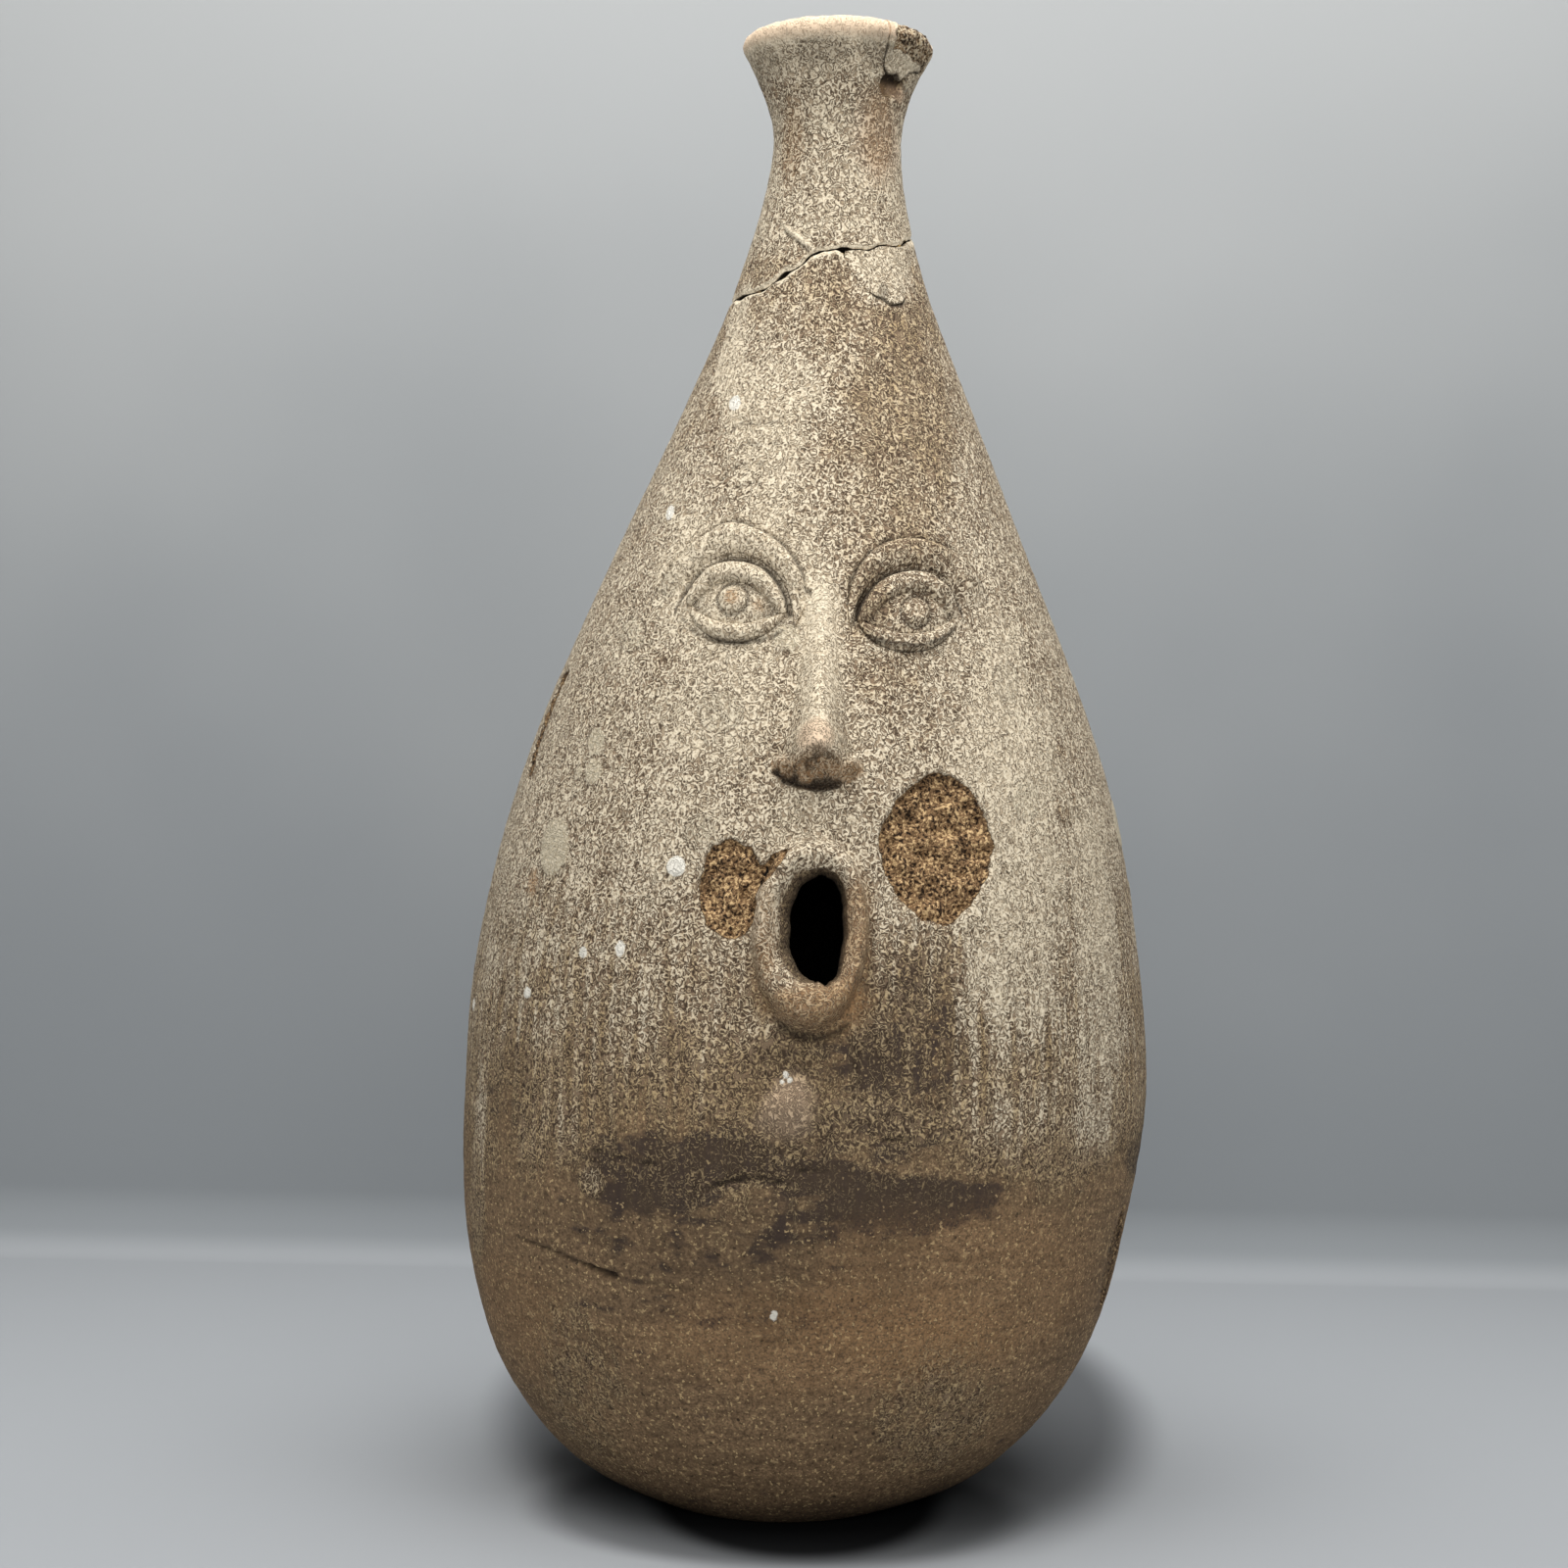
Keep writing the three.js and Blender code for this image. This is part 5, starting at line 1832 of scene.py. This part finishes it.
@dataclass
class RimSherd(Sherd):
    """The sherd that is glued back into the right of the rim, with a crumbled edge."""

    lower_edge: tuple[Place, ...] = (
        (30.0, 449.0), (32.5, 444.5), (38.0, 442.6), (45.0, 443.4), (52.0, 441.6), (58.0, 444.0),
        (66.0, 446.0), (80.0, 446.8), (92.0, 449.0))
    depth: float = 2.6
    gap: float = 0.55
    # The chipped hollow under the sherd, in degrees round and heights
    chip_middle: Place = (45.0, 440.6)
    chip_half: Place = (14.0, 4.0)
    chip_depth: float = 3.2

    def bottom(self, turn: Field) -> Field:
        """Length along the outside of the sherd's lower edge at angles round from the front."""
        line = np.interp(np.degrees(turn), *np.transpose(self.lower_edge))
        return self.bench.form.along(line) + 0.35 * lattice_noise(neck_ring(turn), 2.0, 91)

    def seat(self, spots: Spots) -> Field:
        """How far the rim is cut back under the sherd, and chipped below it."""
        hollow = self.chip_depth * smoothstep(1.05, 0.85, self.chip_away(spots))
        return np.maximum(self.pocket(spots, spots.along - self.bottom(spots.turn), 0.5), hollow)

    def chip_away(self, spots: Spots) -> Field:
        """How far spots are from the middle of the chipped hollow, 1 at its ragged edge."""
        away = oval(np.degrees(spots.turn), spots.height, self.chip_middle, self.chip_half)
        return away + 0.25 * lattice_noise(spots.plain, 3.0, 93)

    def shade(self, spots: Spots) -> Field:
        """How much painted shade and dirt darken the chipped hollow under the sherd."""
        return smoothstep(1.15, 0.8, self.chip_away(spots))

    def build(self) -> None:
        """Builds the sherd."""
        form = self.bench.form
        first, last = self.lower_edge[0][0] + 0.4, self.lower_edge[-1][0] - 0.8
        turns = np.radians(np.linspace(first, last, 110))
        low = self.bottom(turns) + self.gap
        end = float(form.stations[-1, 4]) - 0.6
        share = np.linspace(0.0, 1.0, 64)[:, None]
        along = low + share * (end - low)
        spots = Spots(form, np.broadcast_to(turns, along.shape), along)
        degrees = np.degrees(spots.turn)
        ragged = 0.8 * cloud_noise(spots.plain, 4.0, 95, 2)
        crumbled = np.minimum((degrees - 36.0) * 0.5, spots.height - 449.2 - 0.08 * (62.0 - degrees))
        crumbled = crumbled + 1.6 * ragged
        grain = cloud_noise(spots.plain, 2.4, 97, 3)
        lift = self.bench.weathering.relief(spots) + 0.15
        lift = lift - smoothstep(-0.2, 0.9, crumbled) * (0.7 + 0.5 * grain)
        lift = lift - 0.4 * smoothstep(0.8, 0.0, along - low)
        edge = np.minimum(along - low, (degrees - degrees.min()) * 0.45)
        # Dirt and painted shade along the lower edge and the crack on the left
        grime_and_shade = 0.9 * smoothstep(0.7, 0.15, edge) * smoothstep(454.0, 451.5, spots.height)
        extra = {
            Look.BURST: np.clip(crumbled, FAR, 0.2), Look.COVER: 1.08,
            Look.LICHEN: np.clip(3.0 * crumbled, FAR, 0.15), Look.GRIME_AND_SHADE: np.maximum(0.05, grime_and_shade),
        }
        self.bench.lump("rim_sherd", Slot.SLIPPED, spots, lift, self.depth - 0.2, extra)


@dataclass
class Nose:
    """The pinched nose: a ridge that rises from between the brows to a tip over a flat underside."""

    bench: Bench
    midline: float = 0.2
    bottom: float = 215.0
    top: float = 287.0
    # Height on the wall, half width of the wedge and lift of its ridge
    ridge: tuple[tuple[float, float, float], ...] = (
        (287.0, 4.5, 0.0), (280.0, 5.2, 0.7), (270.0, 6.0, 2.0), (260.0, 7.0, 3.9), (250.0, 8.0, 6.4),
        (242.0, 9.2, 9.2), (236.0, 10.2, 12.0), (232.0, 11.2, 14.0), (228.5, 12.6, 15.0),
        (225.0, 14.2, 14.8), (221.0, 14.6, 14.0), (215.0, 13.0, 12.0),
    )
    base_height: float = 219.8
    base_curl: float = 0.024
    under_slope: float = 1.85
    wing_offset: float = 9.6
    wing_height: float = 225.4
    wing_radius: float = 3.9
    wing_lift: float = 5.2
    rounding: float = 1.8
    depth: float = 2.5

    def half_width(self, height: Field) -> Field:
        """Half width of the wedge at a height."""
        table = np.array(self.ridge)[::-1]
        return np.interp(height, table[:, 0], table[:, 1])

    def lift(self, across: Field, height: Field) -> Field:
        """Height of the nose over the wall.

        Args:
            across: Distances from the middle line.
            height: Heights on the wall.

        Returns:
            Millimetres off the wall.
        """
        table = smooth_chain([(row[0], row[2]) for row in self.ridge[::-1]], 200)
        ridge = np.interp(height, table[:, 0], table[:, 1])
        narrow = np.clip(np.abs(across) / np.minimum(self.half_width(height), 11.0), 0.0, 1.0)
        front = ridge * (1.0 - narrow) ** 2 * (1.0 + 2.0 * narrow)
        under = (height - self.base_height - self.base_curl * across**2) * self.under_slope
        under = np.maximum(under, 0.0)
        blend = np.clip(0.5 + 0.5 * (under - front) / self.rounding, 0.0, 1.0)
        lift = front * blend + under * (1 - blend) - self.rounding * blend * (1 - blend) * (under > 0)
        for side in (-1, 1):
            away = np.hypot(across - side * self.wing_offset, height - self.wing_height) / self.wing_radius
            wing = self.wing_lift * dome(away)
            blend = np.clip(0.5 + 0.5 * (wing - lift) / 1.2, 0.0, 1.0)
            lift = lift * (1 - blend) + wing * blend + 1.2 * blend * (1 - blend) * (wing > 0)
        return lift

    def seat(self, spots: Spots) -> Field:
        """How far the wall is sunk under the nose.

        Args:
            spots: Places on the wall.

        Returns:
            Millimetres inwards.
        """
        inside = self.half_width(spots.height) - np.abs(spots.arc - self.midline)
        inside = np.minimum(inside, np.minimum(spots.height - self.bottom, self.top - spots.height))
        return smoothstep(0.0, 3.0, inside)

    def build(self) -> None:
        """Builds the nose."""
        rows, columns = np.linspace(self.bottom, self.top, 170), np.linspace(-1.0, 1.0, 76)
        height, share = np.meshgrid(rows, columns, indexing="ij")
        across = share * self.half_width(height)
        spots = Spots.on_wall(self.bench.form, across + self.midline, height)
        lift = np.maximum(self.lift(across, height), 0.0) + self.bench.weathering.relief(spots)
        over_base = height - self.base_height - self.base_curl * across**2
        under = smoothstep(9.0, 5.0, over_base + 0.35 * np.abs(across)) * smoothstep(-1.5, 0.0, over_base)
        torn = over_base + 1.1 * cloud_noise(spots.plain, 3.0, 117, 2)
        # Painted shadow in the crease under the nose
        crease = smoothstep(1.4, 0.3, torn) * smoothstep(-1.2, -0.3, over_base)
        crease = crease * smoothstep(12.5, 9.0, np.abs(across + 3.0))
        patches = smoothstep(0.0, 0.5, cloud_noise(spots.plain, 2.0, 113, 3))
        lift = lift + under * 0.5 * cloud_noise(spots.plain, 4.0, 115, 3)
        # Painted shade on the underside, mottled, with a brown tint
        shade_under_nose = under * smoothstep(10.0, 4.0, np.abs(across + 1.0))
        looks = {Look.GRIME_AND_SHADE: np.maximum(crease, shade_under_nose * (0.1 + 0.8 * patches)), Look.RUST: 0.9 * under}
        self.bench.lump("nose", Slot.SLIPPED, spots, lift, self.depth, looks)


@dataclass
class MouthLip:
    """The rolled lip round the mouth, with the hole that goes through the wall."""

    bench: Bench
    middle: Place = (1.9, 179.6)
    hole: Place = (8.4, 17.2)
    ring_middle: Place = (-0.1, 178.4)
    ring: Place = (17.2, 29.4)
    lift_top: float = 5.6
    lift_side: float = 7.2
    lift_bottom: float = 9.6
    crest: float = 0.40
    flare: float = 3.2
    wall_margin: float = 2.6
    steps: int = 200

    def away(self, arc: Field, height: Field) -> Field:
        """How far places are from the hole that the wall has, 1 at its edge."""
        wide, tall = (size + self.wall_margin for size in self.hole)
        return oval(arc, height, self.middle, (wide, tall))

    def seat(self, spots: Spots) -> Field:
        """How far the wall is sunk under the lip."""
        away = oval(spots.arc, spots.height, self.ring_middle, self.ring)
        return 1.2 * smoothstep(0.0, 4.0, (1.0 - away) * self.ring[0])

    def rim(self, turn: Field) -> tuple[Field, Field]:
        """The ragged edge of the hole.

        Args:
            turn: Angles round the hole.

        Returns:
            Arc lengths and heights.
        """
        ring = np.stack([9 * np.cos(turn), 9 * np.sin(turn), 0 * turn], axis=-1)
        size = 0.98 + 0.05 * cloud_noise(ring, 3.6, 61, 3) - 0.05 * np.exp(-(((turn - 1.75) / 0.16) ** 2))
        full = (np.abs(np.cos(turn)) ** 2.7 + np.abs(np.sin(turn)) ** 2.7) ** (-1 / 2.7)
        wide = self.hole[0] + self.flare * np.clip(-np.cos(turn), 0, 1)
        return (self.middle[0] + wide * size * full * np.cos(turn),
                self.middle[1] + self.hole[1] * size * full * np.sin(turn))

    def build(self) -> None:
        """Builds the lip as a closed ring."""
        form, weathering = self.bench.form, self.bench.weathering
        draft = MeshDraft()
        turn = np.linspace(-math.pi / 2, 1.5 * math.pi, self.steps, endpoint=False)
        hole = np.stack(self.rim(turn))
        outer = np.stack([self.ring_middle[0] + self.ring[0] * np.cos(turn),
                          self.ring_middle[1] + self.ring[1] * np.sin(turn)])
        up = np.sin(turn)
        peak = self.lift_side + np.where(up > 0, (self.lift_top - self.lift_side) * up**2,
                                         (self.lift_bottom - self.lift_side) * up**2)
        peak = peak + 0.35 * lattice_noise(np.stack([*outer, 0 * turn], axis=-1), 11.0, 63)
        steep = 1.75 - 0.75 * np.clip(up, 0, 1)
        share = np.linspace(1.0, 0.0, 44)[:, None]
        place = hole[:, None, :] * (1 - share) + outer[:, None, :] * share
        rise = np.where(
            share > self.crest,
            0.5 + 0.5 * np.cos(math.pi * np.clip((share - self.crest) / (1 - self.crest), 0, 1) ** steep),
            1.0 - 0.42 * ((self.crest - share) / self.crest) ** 2,
        )
        spots = Spots.on_wall(form, place[0], place[1])
        lift = peak * rise + weathering.relief(spots) + 0.3 * cloud_noise(spots.plain, 5.0, 65, 3)
        lift = lift + 0.14 * lattice_noise(spots.plain, 1.5, 67)
        looks = weathering.looks(spots)
        front = spots.lifted(lift)
        # Down the hole to the inside of the wall, then back under the roll
        wall = form.thickness(hole[1])
        edge = lift[-1]
        path = [(0.985, 0.72 * edge - 0.28 * 2), (0.96, 0.4 * edge - 0.6 * 2), (0.95, -3.0),
                (0.97, -0.75 * wall), (1.03, -wall - 0.2), (1.25, -wall + 0.4), (1.26, -3.0)]
        centre = np.array(self.middle)[:, None]
        inward = 1.0 - self.flare / (self.hole[0] + self.flare) * np.clip(-np.cos(turn), 0, 1)
        rings = []
        for number, (size, deep) in enumerate(path):
            at = centre + (hole - centre) * size * inward ** min(1.0, 0.4 * (number + 1))
            rings.append((Spots.on_wall(form, *at), deep))
        rings.append((Spots.on_wall(form, *(hole * 0.04 + outer * 0.96)), -2.4))
        tunnel = np.stack([ring.lifted(deep) for ring, deep in rings])
        turns, along = np.stack([(ring.turn, ring.along) for ring, _ in rings], axis=1)
        dark = weathering.looks(Spots(form, turns, along))
        # The hole is painted darker as shade, and nearly black deeper in
        dark[Look.DEEP_SHADE] = np.array([0.0, 0.1, 0.3, 0.85, 1, 1, 1, 1.0])[:, None]
        dark[Look.GRIME_AND_SHADE] = np.array([0.5, 0.55, 0.6, 0.8, 1, 1, 1, 1.0])[:, None]
        dark[Look.COVER] = 0.3
        grid = np.vstack([draft.add(front, looks), draft.add(tunnel, dark)])
        draft.skin(grid, (0.0, 0.0, 1.0, 1.0), wrap_rows=True, wrap_columns=True)
        draft.crease(grid[0], closed=True)
        draft.crease(grid[len(front) - 1], closed=True)
        self.bench.place(draft, "mouth_lip", Slot.SLIPPED)


@dataclass
class Chin:
    """The low pad of clay under the mouth."""

    bench: Bench
    middle: Place = (-4.2, 129.5)
    radius: float = 11.0
    lift: float = 3.4
    depth: float = 2.0

    def seat(self, spots: Spots) -> Field:
        """How far the wall is sunk under the chin."""
        away = np.hypot(spots.arc - self.middle[0], spots.height - self.middle[1])
        return 0.8 * smoothstep(0.0, 3.0, self.radius - away)

    def build(self) -> None:
        """Builds the chin."""
        x, y = disc_grid(48)
        spots = Spots.on_wall(
            self.bench.form, self.middle[0] + self.radius * x, self.middle[1] + self.radius * y)
        lift = self.lift * dome(np.hypot(x, y)) + self.bench.weathering.relief(spots)
        self.bench.lump("chin", Slot.BARE, spots, lift, self.depth)


@dataclass
class Eye:
    """One eye: a lens between two rolled lids, with a round iris, under a crescent brow fold."""

    bench: Bench
    side: Side
    middle: Place
    iris_middle: Place
    tilt: float
    half_width: float = 15.4
    upper_rise: float = 10.8
    lower_drop: float = 7.2
    upper_half: float = 3.6
    lower_half: float = 2.9
    upper_lift: float = 3.8
    lower_lift: float = 2.6
    ball_half: tuple[float, float, float] = (13.6, 10.0, 6.8)
    ball_lift: float = 2.3
    ball_edge: float = 0.3
    iris_radius: float = 4.6
    iris_rise: float = 0.9
    brow_lift: float = 2.7
    depth: float = 2.0

    def turned(self, across: Field, up: Field) -> tuple[Field, Field]:
        """Places on the wall from distances across and up from the eye's middle."""
        cos, sin = math.cos(self.tilt), math.sin(self.tilt)
        return self.middle[0] + cos * across - sin * up, self.middle[1] + sin * across + cos * up

    def ball_height(self, arc: Field, height: Field) -> Field:
        """Height of the eyeball over the wall.

        Args:
            arc: Arc lengths of the places.
            height: Heights of the places.

        Returns:
            Millimetres off the wall.
        """
        cos, sin = math.cos(self.tilt), math.sin(self.tilt)
        x, y = arc - self.middle[0], height - self.middle[1]
        across, up = cos * x + sin * y, cos * y - sin * x
        tall = np.where(up > 0, self.ball_half[1], self.ball_half[2])
        away = np.minimum(np.hypot(across / self.ball_half[0], up / tall), 1.0)
        return self.ball_edge + (self.ball_lift - self.ball_edge) * (1 - away**2)

    def build(self) -> None:
        """Builds the five pieces of the eye."""
        self.eyeball()
        self.iris()
        self.lid(upper=True)
        self.lid(upper=False)
        self.brow()

    def lump(self, part: str, spots: Spots, lift: Field, grime_and_shade: Field, root: float | None = None) -> None:
        """Makes one piece of the eye, with dirt and painted shade on it, and a root of the eye's own depth
        by default.
        """
        node = f"{self.side.value}_{part}"
        self.bench.lump(node, Slot.SLIPPED, spots, lift, root or self.depth, {Look.GRIME_AND_SHADE: grime_and_shade})

    def eyeball(self) -> None:
        """Builds the lens between the lids."""
        x, y = disc_grid(64)
        tall = np.where(y > 0, self.ball_half[1], self.ball_half[2])
        arc, height = self.turned(self.ball_half[0] * x, tall * y)
        spots = Spots.on_wall(self.bench.form, arc, height)
        away = np.hypot(arc - self.iris_middle[0], height - self.iris_middle[1])
        ring = dome((away - self.iris_radius - 0.2) / 0.9)
        rough = 0.12 * cloud_noise(spots.plain, 3.0, 101, 2)
        lift = self.ball_height(arc, height) - 0.3 * ring + rough
        rim = smoothstep(0.62, 0.95, np.hypot(x, y))
        # Painted shade with dirt in the groove round the iris and under the lids
        self.lump("eyeball", spots, lift, np.maximum(0.65 * ring, 0.45 * rim))

    def iris(self) -> None:
        """Builds the round pellet on the eyeball."""
        x, y = disc_grid(36)
        spots = Spots.on_wall(self.bench.form, self.iris_middle[0] + self.iris_radius * x,
                              self.iris_middle[1] + self.iris_radius * 0.92 * y)
        away = np.minimum(np.hypot(x, y), 1.0)
        ball = self.ball_height(spots.arc, spots.height)
        pellet = np.clip(1.0 - away**3.2, 0.0, 1.0) ** 0.6
        dent = dome(away / 0.55)
        rough = 0.10 * cloud_noise(spots.plain, 2.2, 103, 2)
        lift = ball - 0.5 + (self.iris_rise + 0.5) * pellet - 0.3 * dent + rough
        self.lump("iris", spots, lift, 0.45 * smoothstep(0.86, 1.0, away), self.depth - 0.6)

    def lid(self, upper: bool) -> None:
        """Builds one lid as a coil of clay laid round the eye.

        Args:
            upper: Whether it is the upper lid.
        """
        along = np.linspace(-1.0, 1.0, 120)
        if upper:
            rise, half, lift_most = self.upper_rise, self.upper_half, self.upper_lift
            reach, bend, thin, blunt = self.half_width, 2.3, 0.30, 4
        else:
            rise, half, lift_most = -self.lower_drop, self.lower_half, self.lower_lift
            reach, bend, thin, blunt = 1.02 * self.half_width, 2.2, 0.10, 2.6
        line = np.stack([reach * along, rise * (1 - np.abs(along) ** bend) - 0.6], axis=1)
        run = np.gradient(line, axis=0)
        run = run / np.linalg.norm(run, axis=1, keepdims=True)
        normal = np.stack([-run[:, 1], run[:, 0]], axis=1)
        taper = np.clip(1 - np.abs(along) ** blunt, 0.0, 1.0) ** 0.65
        wide = half * (thin + (1 - thin) * taper)
        across = np.linspace(-1.0, 1.0, 34)
        grid = line[:, None] + normal[:, None] * (wide[:, None] * across)[..., None]
        arc, height = self.turned(grid[..., 0], grid[..., 1])
        spots = Spots.on_wall(self.bench.form, arc, height)
        rounded = np.clip(1 - np.abs(across) ** 2.6, 0.0, 1.0) ** 0.6
        lumps = 1 + 0.16 * cloud_noise(spots.plain, 7.0, 105, 2)
        lift = -0.7 + (lift_most + 0.7) * (thin + (1 - thin) * taper[:, None]) * rounded * lumps
        lift = lift + 0.20 * cloud_noise(spots.plain, 2.6, 107, 2)
        # Painted shade with dirt in the creases along the coil
        grime_and_shade = 0.95 * smoothstep(0.80, 1.0, np.abs(across))
        self.lump("upper_eyelid" if upper else "lower_eyelid", spots, lift, grime_and_shade)

    def brow(self) -> None:
        """Builds the crescent fold between the brow line and the groove over the upper lid."""
        count = 150
        outer = smooth_chain(BROW_LINES[self.side], count)
        inner = smooth_chain(LID_GROOVES[self.side], count)
        away = inner - np.array(self.middle)
        inner = inner + 1.1 * away / np.linalg.norm(away, axis=1, keepdims=True)
        along = np.linspace(0.0, 1.0, count)
        across = np.linspace(0.0, 1.0, 52)
        grid = outer[:, None] * (1 - across[:, None]) + inner[:, None] * across[:, None]
        spots = Spots.on_wall(self.bench.form, grid[..., 0], grid[..., 1])
        taper = smoothstep(0.0, 0.22, along) * smoothstep(1.0, 0.80, along)
        fold = np.interp(across, [0, 0.06, 0.16, 0.3, 0.5, 0.75, 0.92, 1.0],
                         [-0.25, 0.35, 0.82, 1.0, 0.92, 0.62, 0.22, -0.35])
        lumps = 1 + 0.14 * cloud_noise(spots.plain, 9.0, 109, 2)
        lift = self.brow_lift * (0.05 + 0.95 * taper[:, None]) * fold * lumps
        lift = lift + 0.20 * cloud_noise(spots.plain, 2.6, 111, 2) - 0.1 - 0.3 * (1 - taper[:, None])
        # Painted shade with dirt along both edges of the fold
        edges = np.maximum(smoothstep(0.05, 0.0, across), smoothstep(0.9, 1.0, across))
        self.lump("brow", spots, lift, 0.75 * edges)


@dataclass(frozen=True)
class Lamp:
    """A soft lamp: where it hangs and points in metres, the size of its panel, and its watts."""

    name: str
    place: tuple[float, float, float]
    aim: tuple[float, float, float]
    size: Place
    power: float

    def hang(self) -> None:
        """Adds the lamp to the scene."""
        data = bpy.data.lights.new(self.name, "AREA")
        data.shape = "RECTANGLE"
        data.size, data.size_y = self.size
        data.energy = self.power
        lamp = bpy.data.objects.new(self.name, data)
        lamp.location = self.place
        away = lamp.location - Vector(self.aim)
        lamp.rotation_euler = away.to_track_quat("Z", "Y").to_euler()
        lamp.visible_camera = False
        bpy.context.scene.collection.objects.link(lamp)


@dataclass
class Studio:
    """The paper sweep, the soft lamps and the camera."""

    paper: Material
    half_width: float = 1.6
    front: float = -1.6
    fold: float = 0.415
    fold_radius: float = 0.03
    top: float = 1.9
    camera_place: tuple[float, float, float] = (-0.00526, -0.950, 0.22033)
    camera_roll: float = math.radians(1.2)
    lens: float = 68.3
    sensor: float = 36.0
    near: float = 0.01
    lamps: tuple[Lamp, ...] = (
        Lamp("top_light", (0.0, -0.22, 1.05), (0.0, -0.2, 0.0), (1.1, 0.8), 11.0),
        Lamp("front_fill", (0.1, -1.5, 0.75), (0.0, 0.0, 0.2), (1.0, 1.0), 7.5),
        Lamp("back_fill", (0.0, 0.37, 0.80), (0.0, 0.05, 0.2), (1.2, 0.3), 1.6),
    )
    glow: Paint = (1.0, 0.99, 0.97, 1.0)
    glow_strength: float = 0.31

    def build(self) -> None:
        """Builds the whole studio."""
        self.sweep()
        self.light()
        self.camera()

    def sweep(self) -> None:
        """Builds the paper: a floor that curves up into a backdrop."""
        turn = np.linspace(-math.pi / 2, 0.0, 24)
        curve = np.stack([self.fold - self.fold_radius + self.fold_radius * np.cos(turn),
                          self.fold_radius + self.fold_radius * np.sin(turn)], axis=1)
        line = np.vstack([[self.front, 0.0], curve, [self.fold, self.top]])
        mesh = bpy.data.meshes.new("paper_sweep")
        points = [(x, y, z) for x in (-self.half_width, self.half_width) for y, z in line]
        count = len(line)
        faces = [(k, count + k, count + k + 1, k + 1) for k in range(count - 1)]
        mesh.from_pydata(points, [], faces)
        mesh.shade_smooth()
        mesh.materials.append(self.paper)
        sweep = bpy.data.objects.new("paper_sweep", mesh)
        bpy.context.scene.collection.objects.link(sweep)

    def light(self) -> None:
        """Hangs the lamps in even light all round."""
        for lamp in self.lamps:
            lamp.hang()
        world = bpy.data.worlds.new("studio")
        world.use_nodes = True
        background = world.node_tree.nodes["Background"]
        background.inputs["Color"].default_value = self.glow
        background.inputs["Strength"].default_value = self.glow_strength
        bpy.context.scene.world = world

    def camera(self) -> None:
        """Adds the camera at the photograph's viewing angle."""
        data = bpy.data.cameras.new("camera")
        data.lens = self.lens
        data.sensor_width = self.sensor
        data.clip_start = self.near
        camera = bpy.data.objects.new("camera", data)
        camera.location = self.camera_place
        camera.rotation_euler = (math.pi / 2, -self.camera_roll, 0.0)
        bpy.context.scene.collection.objects.link(camera)
        bpy.context.scene.camera = camera


def main() -> None:
    """Builds the jug piece by piece, then the studio."""
    logging.basicConfig(level=logging.INFO, format="%(message)s")
    form = BottleForm()
    bench = Bench(form, Weathering(form), WeatheredClay().make(), YellowedGlue().make())
    nose, mouth, chin = Nose(bench), MouthLip(bench), Chin(bench)
    shoulder_sherd, rim_sherd = ShoulderSherd(bench), RimSherd(bench)
    LowerBody(bench).build()
    UpperBody(bench, (nose.seat, mouth.seat, chin.seat, shoulder_sherd.seat), mouth, shoulder_sherd).build()
    Neck(bench, rim_sherd).build()
    for part in (NeckGlue(bench), shoulder_sherd, rim_sherd, nose, mouth, chin):
        part.build()
    Eye(bench, Side.LEFT, (-26.5, 272.4), (-26.4, 274.0), math.radians(-4.5)).build()
    Eye(bench, Side.RIGHT, (27.0, 270.4), (28.0, 271.4), math.radians(4.5)).build()
    Studio(GreyPaper().make()).build()
    bpy.context.scene.view_settings.view_transform = "Standard"
    bpy.context.view_layer.update()


if __name__ == "__main__":
    main()
